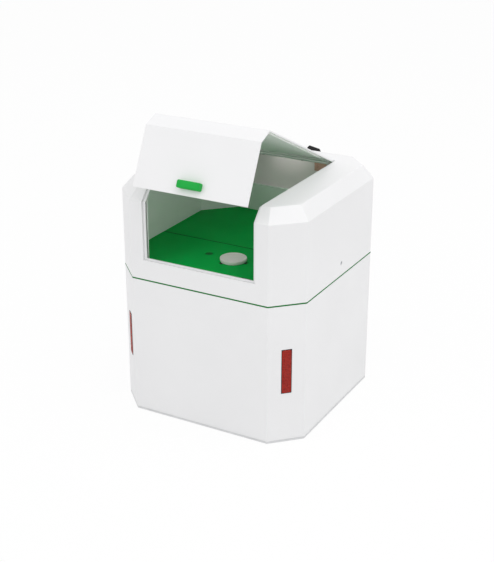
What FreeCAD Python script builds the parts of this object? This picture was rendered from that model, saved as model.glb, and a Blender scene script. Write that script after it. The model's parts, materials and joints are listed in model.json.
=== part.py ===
import FreeCAD
import Part
import Sketcher
import math
import os
from FreeCAD import Placement, Rotation, Vector

# Benchtop x-ray fluorescence spectrometer with its lid open, as it stands on a bench.
# Millimetres, +Z up, front of the casing towards -Y.
# The open lid reaches in front of the casing, so the frame's origin is under the middle of
# the whole footprint and the casing's own centre lies case_y behind it.

doc = FreeCAD.newDocument("Spectrometer")
sheet = doc.addObject("Spreadsheet::Sheet", "Size")

# Driving sizes: name, value in millimetres (degrees for angles), what it is.
driving_sizes = [
    ("width", 340, "casing, side to side"),
    ("depth", 336, "casing, front to back"),
    ("case_y", 8.56, "casing centre behind the frame's origin"),
    ("corner", 45, "leg of the upright corner faces"),
    ("wall", 3, "casing wall"),
    ("edge_round", 3, "rounding of the casing's outer edges"),
    ("foot_drop", 3, "casing's underside above the bench"),
    ("lower_height", 238, "lower casing"),
    ("seam_height", 2.5, "green strip between the casings"),
    ("upper_wall", 132.5, "upright wall of the upper casing"),
    ("bevel_rise", 22, "height of the sloping top edge"),
    ("bevel_inset", 17.4, "inset of the sloping edge at the sides and back"),
    ("front_bevel", 20, "inset of the sloping edge at the front"),
    ("seam_recess", 0.6, "strip behind the casing's face"),
    ("seam_width", 8, "strip, outside to inside"),
    ("tongue_height", 6, "strip's tongue into each casing"),
    ("tongue_thick", 2, "strip's tongue"),
    ("fit_gap", 0.3, "between fixed pieces that slide together"),
    ("floor_lip", 30, "ledge round the lower casing's open floor"),
    ("base_thick", 2, "base plate"),
    ("foot_radius", 11, "rubber foot"),
    ("foot_inset", 34, "foot centre from the casing's side"),
    ("foot_stem", 3, "radius of the screw through a foot"),
    ("sill_height", 36, "sill above the green strip"),
    ("opening_side", 27, "opening's side from the casing's corner edges"),
    ("lid_lap", 3.6, "lid's side beyond the opening"),
    ("lid_gap", 0.8, "gap round the closed lid"),
    ("lid_overlap", 2.1, "lid's lower edge below the sill"),
    ("lid_thick", 2.4, "lid shell"),
    ("lid_open", 25.5, "how far the lid stands open, degrees"),
    ("frame_thick", 3, "opening frame behind the casing wall"),
    ("frame_land", 14, "opening frame's width beside the opening"),
    ("hinge_inset", 58, "hinge line before the casing's back"),
    ("hinge_drop", 4, "hinge line below the top face"),
    ("knuckle_radius", 3.2, "hinge knuckle"),
    ("knuckle_slot", 4.4, "hinge line to the edges beside it"),
    ("hinge_side", 11.6, "hinge's end from the lid's side"),
    ("knuckle_gap", 0.4, "between neighbouring knuckles"),
    ("leaf_thick", 1.5, "hinge leaf"),
    ("leaf_width", 22, "hinge leaf from the hinge line"),
    ("pin_radius", 1.5, "hinge pin"),
    ("pin_gap", 0.05, "hinge pin's running gap"),
    ("bracket_inset", 16, "middle of a hinge bracket from the hinge's end"),
    ("bracket_width", 22, "hinge bracket"),
    ("bracket_drop", 19, "hinge bracket's hanging flange"),
    ("bracket_depth", 22, "hinge bracket's upper flange"),
    ("bracket_set", 1, "hinge bracket behind the lid's slot"),
    ("liner_thick", 2, "lid liner"),
    ("liner_gap", 1.5, "liner clear of the opening frame"),
    ("liner_rear", 47, "liner's rear edge before the hinge line"),
    ("handle_width", 40, "lid handle"),
    ("handle_height", 12.5, "lid handle"),
    ("handle_depth", 11, "lid handle"),
    ("handle_round", 2.4, "rounding of the handle's edges"),
    ("scoop_radius", 5, "finger scoop under the handle"),
    ("scoop_rise", 2, "finger scoop into the handle's underside"),
    ("scoop_end", 6, "finger scoop from the handle's ends"),
    ("handle_rise", 10, "handle above the lid's lower edge"),
    ("deck_height", 27.5, "deck's top face above the green strip"),
    ("deck_thick", 3, "deck plate"),
    ("deck_inset", 7, "deck's front edge from the casing's face"),
    ("deck_seam_y", 27, "seam between deck plates before the centre"),
    ("deck_seam_gap", 0.6, "seam between deck plates"),
    ("deck_frame_height", 6, "frame under the deck"),
    ("deck_frame_width", 16, "front of the frame under the deck, from the casing's face"),
    ("deck_seat", 8, "frame under the deck, inside the chamber walls"),
    ("chamber_inset", 16, "chamber wall's inner face from the casing's side"),
    ("chamber_back", 20, "chamber's rear wall from the casing's back"),
    ("chamber_corner", 50, "leg of the chamber's corner faces"),
    ("chamber_sheet", 2, "chamber wall sheet"),
    ("chamber_top_gap", 14, "chamber wall's top edge below the top face"),
    ("chamber_lap", 4, "upper rear wall down behind the lower one's ledge"),
    ("ledge_height", 49, "lower rear wall above the deck"),
    ("ledge_depth", 5, "upper rear wall behind the lower one"),
    ("measure_x", 18.5, "measuring point right of the centre"),
    ("measure_y", 87, "measuring point before the centre"),
    ("ring_radius", 21, "aperture ring"),
    ("notch_count", 3, "notches in the deck round the sample cup"),
    ("notch_length", 4, "notch from the sample cup outwards"),
    ("notch_width", 9, "notch along the sample cup"),
    ("ring_hole", 8, "radius of the hole in the aperture ring"),
    ("ring_depth", 1.5, "aperture ring's recess in the deck"),
    ("film_radius", 10, "window film"),
    ("film_thick", 0.3, "window film with its carrier"),
    ("cup_radius", 22, "sample cup"),
    ("cup_height", 5.5, "sample cup above the deck"),
    ("cup_wall", 1.6, "sample cup"),
    ("cup_gap", 0.1, "cup above the aperture ring"),
    ("cup_foot", 1.5, "height of the cup's stepped foot"),
    ("camera_x", 32, "camera window left of the centre"),
    ("camera_y", 79, "camera window before the centre"),
    ("camera_radius", 7.5, "camera window"),
    ("glass_recess", 0.4, "camera window below the deck's face"),
    ("camera_barrel", 5, "radius of the camera's lens barrel"),
    ("camera_depth", 6.5, "camera's lens barrel under the deck"),
    ("camera_board", 16, "camera's circuit board"),
    ("head_half", 40, "half the head block's width"),
    ("head_step", 14, "upright side of the head block"),
    ("head_depth", 64, "head block, front to back"),
    ("tube_angle", 45, "tube and detector from upright, degrees"),
    ("tube_radius", 17.5, "x-ray tube housing"),
    ("tube_length", 104, "x-ray tube housing"),
    ("collar_radius", 12, "high-voltage collar on the tube's rear end"),
    ("collar_length", 9, "high-voltage collar on the tube's rear end"),
    ("plug_radius", 7, "high-voltage plug in the collar"),
    ("snout_radius", 9, "x-ray tube's front end"),
    ("detector_radius", 13, "detector housing"),
    ("detector_length", 62, "detector housing"),
    ("detector_snout", 6, "radius of the detector's front end"),
    ("snout_reach", 18, "detector's front end beyond its flange"),
    ("flange_margin", 5, "detector's flange beyond its housing"),
    ("flange_thick", 4, "detector's flange"),
    ("wheel_radius", 34.5, "filter wheel"),
    ("wheel_offset", 26, "filter wheel's axis before the tube's"),
    ("wheel_thick", 2, "filter wheel"),
    ("wheel_space", 7, "gap in which the filter wheel turns"),
    ("filter_radius", 7, "hole for one filter"),
    ("filter_count", 6, "places in the filter wheel"),
    ("foil_thick", 0.4, "filter foil"),
    ("motor_radius", 8, "filter motor"),
    ("motor_length", 22, "filter motor"),
    ("shaft_radius", 1.5, "filter motor's shaft"),
    ("run_gap", 0.05, "shaft's running gap"),
    ("plate_thick", 4, "tube plate"),
    ("plate_front", 12, "tube plate before the filter wheel's axis"),
    ("plate_rear", 34, "tube plate behind the beam"),
    ("post_near", 13, "tube plate's first pair of posts behind the beam"),
    ("post_pitch", 14, "tube plate's second pair behind the first"),
    ("snout_step", 1, "tube's front end through the tube plate"),
    ("slide_width", 24, "collimator slide"),
    ("slide_length", 84, "collimator slide"),
    ("slide_thick", 1.6, "collimator slide"),
    ("slide_gap", 0.3, "round the collimator slide"),
    ("slide_step", 14, "from one collimator hole to the next"),
    ("hole_small", 0.5, "radius of the small collimator hole"),
    ("hole_middle", 1.5, "radius of the middle collimator hole"),
    ("hole_large", 4, "radius of the large collimator hole"),
    ("lens_width", 17, "red lamp lens"),
    ("lens_height", 77, "red lamp lens"),
    ("lens_low", 86, "lens's lower edge above the casing's underside"),
    ("lens_proud", 1, "lens before the corner face"),
    ("lens_gap", 0.3, "round the lens"),
    ("board_thick", 1.6, "circuit board"),
    ("board_margin", 5, "lamp board beyond its lens"),
    ("panel_side", 15, "rear cut-out from the casing's corner edges"),
    ("panel_height", 130, "rear cut-out"),
    ("panel_low", 30, "rear cut-out above the casing's underside"),
    ("panel_margin", 10, "rear panel behind the cut-out's edge"),
    ("panel_thick", 2, "rear panel"),
    ("panel_screw_z", 50, "rear panel's screws above and below its middle"),
    ("fan_size", 80, "fan frame"),
    ("fan_depth", 25, "fan frame"),
    ("fan_side", 50, "fan's middle from the cut-out's side"),
    ("fan_bore", 37.5, "radius of the fan's air way"),
    ("fan_flange", 4, "fan frame's square flanges"),
    ("fan_barrel", 1.7, "fan frame's wall round the air way"),
    ("fan_pitch", 71.5, "fan's screws, side to side"),
    ("fan_screw", 2, "radius of a fan screw"),
    ("strut_width", 5, "fan's struts"),
    ("strut_thick", 3, "fan's struts"),
    ("fan_axle", 2.5, "radius of the fan's axle"),
    ("axle_length", 12, "fan's axle before its struts"),
    ("fan_hub", 17, "radius of the fan's hub"),
    ("rotor_gap", 2, "fan's rotor before the struts"),
    ("rotor_front", 1.5, "fan's rotor behind the frame's front face"),
    ("blade_count", 7, "fan blades"),
    ("blade_thick", 1.8, "fan blade"),
    ("blade_gap", 3, "fan blades' tips to the air way, at their middle"),
    ("blade_inset", 2, "fan blade inside the hub's ends"),
    ("blade_rise", 5.5, "fan blade's slope at the hub"),
    ("blade_swing", 9, "fan blade's slope at its tip"),
    ("guard_wire", 1, "half the width of the fan guard's wire"),
    ("guard_step", 11, "from one guard ring to the next"),
    ("guard_rings", 3, "rings of the fan guard"),
    ("guard_eye", 4, "radius of the eyes at the guard's corners"),
    ("eye_thick", 1.6, "eyes at the guard's corners"),
    ("inlet_side", 26, "mains inlet's middle from the cut-out's side"),
    ("inlet_width", 27, "mains inlet"),
    ("inlet_height", 20, "mains inlet"),
    ("inlet_depth", 22, "mains inlet behind the panel"),
    ("inlet_flange", 3, "mains inlet's flange round it"),
    ("inlet_floor", 3, "mains inlet's closed end"),
    ("blade_x", 7, "outer contact blades from the inlet's middle"),
    ("blade_z", 2, "contact blades above and below the inlet's middle"),
    ("blade_width", 2, "contact blade"),
    ("blade_height", 4, "contact blade"),
    ("blade_length", 8, "contact blade"),
    ("switch_width", 20, "rocker"),
    ("switch_height", 13, "rocker"),
    ("switch_gap", 0.6, "round the rocker"),
    ("switch_dip", 1.2, "rocker's middle behind its ends"),
    ("switch_edge", 1, "rocker's ends behind its pivot"),
    ("switch_root", 3, "rocker's middle behind its pivot"),
    ("switch_set", 1, "rocker's pivot inside the panel's face"),
    ("switch_well", 5, "rocker's well"),
    ("switch_wall", 1.5, "wall round the rocker's well"),
    ("beacon_x", 39, "beacon right of the centre"),
    ("beacon_length", 29, "beacon, side to side"),
    ("beacon_width", 20, "beacon, down the slope"),
    ("beacon_height", 17.5, "beacon out of the slope"),
    ("beacon_flat", 14.5, "flat part of the beacon's top"),
    ("beacon_fall", 5.5, "fall of the beacon's top to its right end"),
    ("beacon_round", 1, "rounding of the beacon's edges"),
    ("screw_radius", 3, "head of a cover screw"),
    ("screw_head", 1.2, "height of a cover screw's head"),
    ("screw_shank", 1.5, "radius of a cover screw's shank"),
    ("cover_screw_y", 2, "cover screw behind the centre"),
    ("hv_width", 90, "high-voltage supply"),
    ("hv_depth", 130, "high-voltage supply"),
    ("hv_height", 80, "high-voltage supply"),
    ("hv_side", 22, "high-voltage supply from the casing's side"),
    ("mains_width", 96, "mains supply"),
    ("mains_depth", 158, "mains supply"),
    ("mains_height", 40, "mains supply"),
    ("mains_side", 24, "mains supply from the casing's side"),
    ("supply_round", 2, "rounding of the supplies' upright edges"),
    ("supply_foot", 6, "supplies' mounting flange"),
    ("socket_radius", 11, "high-voltage socket"),
    ("socket_height", 12, "high-voltage socket"),
    ("slot_count", 7, "air slots in the mains supply's cover"),
    ("slot_width", 4, "air slot"),
    ("slot_step", 14, "from one air slot to the next"),
    ("slot_depth", 1.5, "air slot"),
    ("board_left", 16, "control board from the high-voltage supply"),
    ("board_right", 8, "control board from the mains supply"),
    ("board_depth", 190, "control board"),
    ("board_rise", 10, "control board above the base plate"),
    ("post_radius", 3, "standoff"),
    ("post_inset", 5, "standoff from the board's edges"),
    ("chip_side", 24, "processor on the control board"),
    ("chip_height", 3, "processor on the control board"),
    ("coil_width", 24, "transformer on the control board"),
    ("coil_depth", 30, "transformer on the control board"),
    ("coil_height", 14, "transformer on the control board"),
    ("plug_length", 40, "connector on the control board"),
    ("plug_width", 12, "connector on the control board"),
    ("plug_height", 8, "connector on the control board"),
    ("can_radius", 6, "capacitor on the control board"),
    ("can_height", 16, "capacitor on the control board"),
    ("can_pitch", 18, "from one capacitor to the next"),
    ("part_margin", 10, "board's parts from its edges"),
    ("part_gap", 5, "between the board's parts"),
    ("upright_side", 12, "chassis upright"),
    ("upright_width", 24, "chassis upright"),
    ("upright_thick", 2, "chassis upright"),
    ("vent_count", 9, "air slots in the base plate"),
    ("vent_width", 4, "air slot in the base plate"),
    ("vent_length", 32, "air slot in the base plate"),
    ("vent_step", 12, "from one air slot in the base plate to the next"),
    ("vent_gap", 2, "air slots behind the ledge"),
    ("upright_set", 23, "chassis upright's middle from the casing's corner edges"),
    ("actuator_length", 20, "slide actuator"),
    ("actuator_height", 13, "slide actuator"),
    ("actuator_can", 5.5, "radius of the slide actuator's motor"),
    ("can_length", 16, "slide actuator's motor"),
    ("processor_half", 24, "half the pulse processor's width"),
    ("processor_thick", 12, "pulse processor"),
    ("port_width", 16, "data port"),
    ("port_height", 13, "data port"),
    ("port_depth", 18, "data port"),
    ("port_wall", 1.5, "data port"),
    ("port_floor", 3, "data port's closed end"),
    ("port_rise", 62, "data port above the mains inlet"),
    ("switch_rise", 26, "power switch above the mains inlet"),
    ("switch_tilt", 8, "rocker's lean in its off place, degrees"),
    ("switch_swell", 3, "rocker's ends before its pivot"),
    ("inlet_rise", 32, "mains inlet above the cut-out's lower edge"),
    ("inlet_wall", 1.5, "mains inlet"),
    ("magnet_radius", 4, "lid magnet"),
    ("magnet_thick", 3, "lid magnet"),
    ("magnet_side", 18, "lid magnet and sensor from the opening's side"),
    ("magnet_rise", 22, "lid magnet above the lid's lower edge"),
    ("sensor_width", 16, "lid sensor"),
    ("sensor_thick", 6, "lid sensor"),
    ("sensor_drop", 2, "lid sensor below the sill"),
    ("lamp_length", 80, "chamber lamp"),
    ("lamp_width", 10, "chamber lamp"),
    ("lamp_height", 6, "chamber lamp"),
    ("lamp_round", 2.5, "rounding of the chamber lamp's diffuser"),
]

for row, (name, number, note) in enumerate(driving_sizes, 1):
    sheet.set("A%d" % row, name)
    sheet.set("B%d" % row, str(number))
    sheet.set("C%d" % row, note)
    sheet.setAlias("B%d" % row, name)
doc.recompute()


class Value:
    """A number, and the expression over the sheet's cells that gives it."""

    def __init__(self, number, text):
        self.number = number
        self.text = text

    def __add__(self, other):
        other = as_value(other)
        return Value(self.number + other.number, "(%s + %s)" % (self.text, other.text))

    def __sub__(self, other):
        other = as_value(other)
        return Value(self.number - other.number, "(%s - %s)" % (self.text, other.text))

    def __mul__(self, other):
        other = as_value(other)
        return Value(self.number * other.number, "(%s * %s)" % (self.text, other.text))

    def __truediv__(self, other):
        other = as_value(other)
        return Value(self.number / other.number, "(%s / %s)" % (self.text, other.text))

    def __radd__(self, other):
        return as_value(other) + self

    def __rsub__(self, other):
        return as_value(other) - self

    def __rmul__(self, other):
        return as_value(other) * self

    def __neg__(self):
        return as_value(-1) * self


def as_value(item):
    if isinstance(item, Value):
        return item
    return Value(float(item), "(%s)" % item)


class Sizes:
    """Every cell of the sheet as an attribute."""


size = Sizes()
for name, number, note in driving_sizes:
    setattr(size, name, Value(float(number), "Size." + name))


def half_turn(run, rise):
    """How far the corner at the foot of a slope shifts for each millimetre of thickness."""
    number = math.tan(math.atan(run.number / rise.number) / 2)
    return Value(number, "tan(atan(%s / %s) / 2)" % (run.text, rise.text))


side_shift = half_turn(size.bevel_inset, size.bevel_rise)
side_top_shift = half_turn(size.bevel_rise, size.bevel_inset)
front_shift = half_turn(size.front_bevel, size.bevel_rise)
front_top_shift = half_turn(size.bevel_rise, size.front_bevel)
leg_share = 2 - math.sqrt(2)
diagonal = math.sqrt(0.5)

# Heights that follow from the driving sizes.
case_bottom = size.foot_drop
lower_top = case_bottom + size.lower_height
seam_top = lower_top + size.seam_height
wall_top = seam_top + size.upper_wall
top = wall_top + size.bevel_rise
sill = seam_top + size.sill_height
deck_top = seam_top + size.deck_height
deck_low = deck_top - size.deck_thick
floor_top = case_bottom + size.wall
base_top = floor_top + size.base_thick
hinge_z = top - size.hinge_drop
cover_screw_z = deck_low - size.deck_frame_height / 2
front = -size.depth / 2
back = size.depth / 2
hinge_y = back - size.hinge_inset
opening_half = size.width / 2 - size.corner - size.opening_side
lid_half = opening_half + size.lid_lap
magnet_x = opening_half - size.magnet_side
chamber_x = size.width / 2 - size.chamber_inset
chamber_y = size.depth / 2 - size.chamber_back
mitre = math.sqrt(2) - 1

pieces = []


def new_piece(name, several=False):
    """A body in the casing's own coordinates: centre of the casing's plan, bench at Z zero."""
    body = doc.addObject("PartDesign::Body", name)
    body.Label = name
    body.AllowCompound = several
    body.setExpression("Placement.Base.y", "Size.case_y")
    pieces.append(body)
    return body


def new_hinge_piece(name, several=False):
    """A body drawn from the hinge line."""
    body = new_piece(name, several)
    body.setExpression("Placement.Base.y", (size.case_y + hinge_y).text)
    body.setExpression("Placement.Base.z", hinge_z.text)
    return body


def new_lid_piece(name, several=False):
    """A body drawn from the hinge line with the lid closed, then turned open about that line."""
    body = new_hinge_piece(name, several)
    body.Placement = Placement(Vector(), Rotation(Vector(1, 0, 0), -size.lid_open.number))
    body.setExpression("Placement.Rotation.Angle", "-Size.lid_open * 1 deg")
    return body


def new_beam_piece(name, side, several=False):
    """A body drawn down from the measuring point, then leaned to side -1 (left) or 1 (right)."""
    body = new_piece(name, several)
    body.Placement = Placement(Vector(), Rotation(Vector(0, 1, 0), -side * size.tube_angle.number))
    body.setExpression("Placement.Base.x", size.measure_x.text)
    body.setExpression("Placement.Base.y", (size.case_y - size.measure_y).text)
    body.setExpression("Placement.Base.z", deck_top.text)
    body.setExpression("Placement.Rotation.Angle", "%d * Size.tube_angle * 1 deg" % -side)
    return body


def draw(body, plane, loops, offset=None):
    """A sketch of closed loops on an origin plane, moved along the plane's normal by offset.

    A loop is a list of corners, or (x, y, radius) for a circle.
    """
    sketch = body.newObject("Sketcher::SketchObject", body.Name + "_sketch")
    planes = [item for item in body.Origin.OriginFeatures if item.Role == plane + "_Plane"]
    sketch.AttachmentSupport = (planes[0], [""])
    sketch.MapMode = "FlatFace"
    if offset is not None:
        sketch.setExpression("AttachmentOffset.Base.z", as_value(offset).text)
    for loop in loops:
        if isinstance(loop, tuple):
            draw_circle(sketch, *loop)
        else:
            draw_polygon(sketch, loop)
    return sketch


def tie(sketch, kind, *target):
    """Adds a size to a sketch and binds it to its expression."""
    value = as_value(target[-1])
    number = sketch.addConstraint(Sketcher.Constraint(kind, *target[:-1], value.number))
    sketch.setExpression("Constraints[%d]" % number, value.text)


def draw_polygon(sketch, corners):
    first = sketch.GeometryCount
    points = [Vector(as_value(x).number, as_value(y).number, 0) for x, y in corners]
    for index, point in enumerate(points):
        sketch.addGeometry(Part.LineSegment(point, points[(index + 1) % len(points)]), False)
    for index, (x, y) in enumerate(corners):
        following = first + (index + 1) % len(points)
        sketch.addConstraint(Sketcher.Constraint("Coincident", first + index, 2, following, 1))
        tie(sketch, "DistanceX", -1, 1, first + index, 1, x)
        tie(sketch, "DistanceY", -1, 1, first + index, 1, y)


def draw_circle(sketch, x, y, radius):
    centre = Vector(as_value(x).number, as_value(y).number, 0)
    index = sketch.addGeometry(Part.Circle(centre, Vector(0, 0, 1), as_value(radius).number), False)
    tie(sketch, "DistanceX", -1, 1, index, 3, x)
    tie(sketch, "DistanceY", -1, 1, index, 3, y)
    tie(sketch, "Radius", index, radius)


def pad(body, plane, loops, offset, length):
    feature = body.newObject("PartDesign::Pad", body.Name + "_pad")
    feature.Profile = draw(body, plane, loops, offset)
    feature.setExpression("Length", as_value(length).text)
    return feature


def cut(body, plane, loops, offset, length):
    """Cuts from the sketch along its plane's normal."""
    feature = body.newObject("PartDesign::Pocket", body.Name + "_cut")
    feature.Profile = draw(body, plane, loops, offset)
    feature.Reversed = True
    feature.setExpression("Length", as_value(length).text)
    return feature


def loft(body, kind, low_loop, low, high_loop, high):
    feature = body.newObject("PartDesign::%sLoft" % kind, body.Name + "_loft")
    feature.Profile = draw(body, "XY", [low_loop], low)
    feature.Sections = [draw(body, "XY", [high_loop], high)]
    feature.Ruled = True
    return feature


def round_edges(body, radius, choose):
    doc.recompute()
    base = body.Tip
    names = ["Edge%d" % number for number, edge in enumerate(base.Shape.Edges, 1) if choose(edge)]
    feature = body.newObject("PartDesign::Fillet", body.Name + "_round")
    feature.Base = (base, names)
    feature.setExpression("Radius", as_value(radius).text)
    return feature


def along(direction):
    """Chooses straight edges that run along a direction."""
    direction = Vector(*direction)

    def choose(edge):
        if edge.Curve.TypeId != "Part::GeomLine":
            return False
        return abs(edge.tangentAt(edge.FirstParameter).dot(direction)) > 0.999
    return choose


def rectangle(low_x, high_x, low_y, high_y):
    return [(low_x, low_y), (high_x, low_y), (high_x, high_y), (low_x, high_y)]


def around(x, y, half_x, half_y):
    return rectangle(x - half_x, x + half_x, y - half_y, y + half_y)


def octagon(inset, front_inset=None, leg=None):
    """The casing's plan, every side moved in by inset; front_inset moves the front more."""
    inset = as_value(inset)
    half_x = size.width / 2 - inset
    rear_y = size.depth / 2 - inset
    front_y = -size.depth / 2 + (inset if front_inset is None else front_inset)
    cut_leg = size.corner - leg_share * inset if leg is None else leg
    return [(-half_x + cut_leg, front_y), (half_x - cut_leg, front_y),
            (half_x, front_y + cut_leg), (half_x, rear_y - cut_leg),
            (half_x - cut_leg, rear_y), (-half_x + cut_leg, rear_y),
            (-half_x, rear_y - cut_leg), (-half_x, front_y + cut_leg)]


def box(name, low_x, high_x, low_y, high_y, low_z, high_z):
    body = new_piece(name)
    pad(body, "XY", [rectangle(low_x, high_x, low_y, high_y)], low_z, high_z - low_z)
    return body


def corner_plane(body, side, loops, height, out):
    """A sketch on an upright front corner face, moved out of the face; side -1 left, 1 right."""
    sketch = draw(body, "XZ", loops)
    sketch.AttachmentOffset = Placement(Vector(), Rotation(Vector(0, 1, 0), 45 * side))
    away = as_value(out) * diagonal
    sketch.setExpression("AttachmentOffset.Base.x",
                         (side * (size.width / 2 - size.corner / 2 + away)).text)
    sketch.setExpression("AttachmentOffset.Base.y", as_value(height).text)
    sketch.setExpression("AttachmentOffset.Base.z",
                         (size.depth / 2 - size.corner / 2 + away).text)
    return sketch


def corner_pad(body, side, half_width, low, high, inside, thick):
    """A block along a front corner face, from inside the face outwards."""
    feature = body.newObject("PartDesign::Pad", body.Name + "_pad")
    feature.Profile = corner_plane(body, side, [rectangle(-half_width, half_width, low, high)], 0, inside)
    feature.setExpression("Length", as_value(thick).text)


lens_half = size.lens_width / 2
lens_bottom = case_bottom + size.lens_low
lens_top = lens_bottom + size.lens_height
panel_half = size.width / 2 - size.corner - size.panel_side
panel_bottom = case_bottom + size.panel_low
panel_top = panel_bottom + size.panel_height
panel_middle = panel_bottom + size.panel_height / 2
panel_face = back - size.wall - size.fit_gap
panel_screw_x = panel_half + size.panel_margin / 2
panel_screw_places = [(side * panel_screw_x, panel_middle + end * size.panel_screw_z)
                      for side in (-1, 1) for end in (-1, 1)]


def make_lower_casing():
    body = new_piece("lower_casing")
    pad(body, "XY", [octagon(0)], case_bottom, size.lower_height)

    def outer(edge):
        middle = edge.CenterOfMass
        return abs(middle.z - lower_top.number) > 0.01
    round_edges(body, size.edge_round, outer)
    cut(body, "XY", [octagon(size.wall)], floor_top, size.lower_height)
    cut(body, "XY", [octagon(size.wall + size.floor_lip)], 0, floor_top + 1)
    cut(body, "XY", [(x, y, size.foot_stem + size.fit_gap) for x, y in foot_places], 0, floor_top + 1)
    cut(body, "XZ", [rectangle(-panel_half, panel_half, panel_bottom, panel_top)], -back - 1,
        size.wall + 2)
    screw_hole = size.screw_shank + size.fit_gap
    cut(body, "XZ", [(x, z, screw_hole) for x, z in panel_screw_places], -back - 1, size.wall + 2)
    for side in (-1, 1):
        feature = body.newObject("PartDesign::Pocket", "lens_slot")
        half = lens_half + size.lens_gap
        slot = [rectangle(-half, half, lens_bottom - size.lens_gap, lens_top + size.lens_gap)]
        feature.Profile = corner_plane(body, side, slot, 0, 1)
        feature.setExpression("Length", (size.wall + 2).text)
    return body


def make_upper_casing():
    body = new_piece("upper_casing")
    pad(body, "XY", [octagon(0)], seam_top, size.upper_wall)
    top_leg = size.corner - leg_share * size.bevel_inset
    loft(body, "Additive", octagon(0), wall_top,
         octagon(size.bevel_inset, size.front_bevel, top_leg), top)

    def outer(edge):
        return edge.CenterOfMass.z > seam_top.number + 1
    round_edges(body, size.edge_round, outer)
    # The slope is as thick as the walls, so it turns a little lower inside.
    inner_turn = wall_top - side_shift * size.wall
    inner_inset = size.bevel_inset + side_top_shift * size.wall
    inner_front = size.front_bevel + front_top_shift * size.wall
    cut(body, "XY", [octagon(size.wall)], seam_top - 1, inner_turn - seam_top + 1)
    loft(body, "Subtractive", octagon(size.wall), inner_turn,
         octagon(inner_inset, inner_front, size.corner - leg_share * inner_inset), top - size.wall)
    half = lid_half + size.lid_gap
    low = sill - size.lid_overlap - size.lid_gap
    rear = hinge_y + size.knuckle_slot
    cut(body, "XZ", [rectangle(-half, half, low, top + 1)], -rear, rear - front + 1)
    screw_hole = (size.cover_screw_y, cover_screw_z, size.screw_shank + size.fit_gap)
    cut(body, "YZ", [screw_hole], -size.width, 2 * size.width)
    head_hole = (size.cover_screw_y, cover_screw_z, size.screw_radius + size.fit_gap)
    for start in (-size.width / 2 - 1, size.width / 2 - size.screw_head - size.fit_gap):
        cut(body, "YZ", [head_hole], start, size.screw_head + size.fit_gap + 1)
    return body


def make_seam_strip():
    body = new_piece("seam_strip")
    pad(body, "XY", [octagon(size.seam_recess), octagon(size.seam_width)], lower_top, size.seam_height)
    near = size.wall + size.fit_gap
    tongue = [octagon(near), octagon(near + size.tongue_thick)]
    pad(body, "XY", tongue, lower_top - size.tongue_height, 2 * size.tongue_height + size.seam_height)
    return body


foot_x = size.width / 2 - size.foot_inset
foot_y = size.depth / 2 - size.foot_inset
foot_places = [(side_x * foot_x, side_y * foot_y) for side_x in (-1, 1) for side_y in (-1, 1)]


def make_base():
    body = new_piece("base_plate")
    holes = [(x, y, size.foot_stem + size.fit_gap) for x, y in foot_places]
    vent_y = front + size.wall + size.floor_lip + size.vent_gap + size.vent_length / 2
    for index in range(int(size.vent_count.number)):
        vent_x = (index - (size.vent_count.number - 1) / 2) * size.vent_step
        holes.append(around(vent_x, vent_y, size.vent_width / 2, size.vent_length / 2))
    pad(body, "XY", [octagon(size.wall + size.fit_gap)] + holes, floor_top, size.base_thick)

    feet = new_piece("rubber_feet", several=True)
    pad(feet, "XY", [(x, y, size.foot_radius) for x, y in foot_places], 0, size.foot_drop)
    cut(feet, "XY", [(x, y, size.foot_stem + size.fit_gap) for x, y in foot_places],
        size.foot_drop / 3, size.foot_drop)

    screws = new_piece("foot_screws", several=True)
    low = size.foot_drop / 3
    pad(screws, "XY", [(x, y, size.foot_stem) for x, y in foot_places], low, base_top - low)
    pad(screws, "XY", [(x, y, 2 * size.foot_stem) for x, y in foot_places], base_top, size.foot_stem)


def make_opening_frame():
    """The ledge that the closed lid lies in: a folded band behind the casing wall."""
    body = new_piece("opening_frame")
    near = size.wall + size.fit_gap
    far = near + size.frame_thick
    rear = hinge_y - size.knuckle_slot
    low = deck_top + size.fit_gap
    band = [(front + near, low), (front + near, wall_top - front_shift * near),
            (front + size.front_bevel + front_top_shift * near, top - near), (rear, top - near),
            (rear, top - far), (front + size.front_bevel + front_top_shift * far, top - far),
            (front + far, wall_top - front_shift * far), (front + far, low)]
    half = opening_half + size.frame_land
    pad(body, "YZ", [band], -half, 2 * half)
    cut(body, "XZ", [rectangle(-opening_half, opening_half, sill, top)], -rear - 1,
        rear - front + 1)
    return body


knuckle_count = 9
hinge_half = lid_half - size.hinge_side
knuckle_pitch = 2 * hinge_half / knuckle_count
knuckle_length = knuckle_pitch - size.knuckle_gap
bracket_x = hinge_half - size.bracket_inset


def add_knuckles(body, odd, side, plate_thick):
    """A leaf under a plate to one side of the hinge line, and every other knuckle round the line."""
    leaf_top = size.hinge_drop - plate_thick - size.fit_gap
    leaf_low = leaf_top - size.leaf_thick
    pad(body, "YZ", [rectangle(side * size.knuckle_slot, side * size.leaf_width, leaf_low, leaf_top)],
        -hinge_half, 2 * hinge_half)
    for index in range(odd, knuckle_count, 2):
        start = index * knuckle_pitch - hinge_half + size.knuckle_gap / 2
        pad(body, "YZ", [rectangle(0, side * size.knuckle_slot, leaf_low, leaf_top)], start,
            knuckle_length)
        pad(body, "YZ", [(0, 0, size.knuckle_radius)], start, knuckle_length)
    cut(body, "YZ", [(0, 0, size.pin_radius + size.pin_gap)], -hinge_half - 1, 2 * hinge_half + 2)


bracket_face = hinge_y + size.knuckle_slot + size.bracket_set
case_leaf_low = top - size.wall - size.fit_gap - size.leaf_thick


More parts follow.
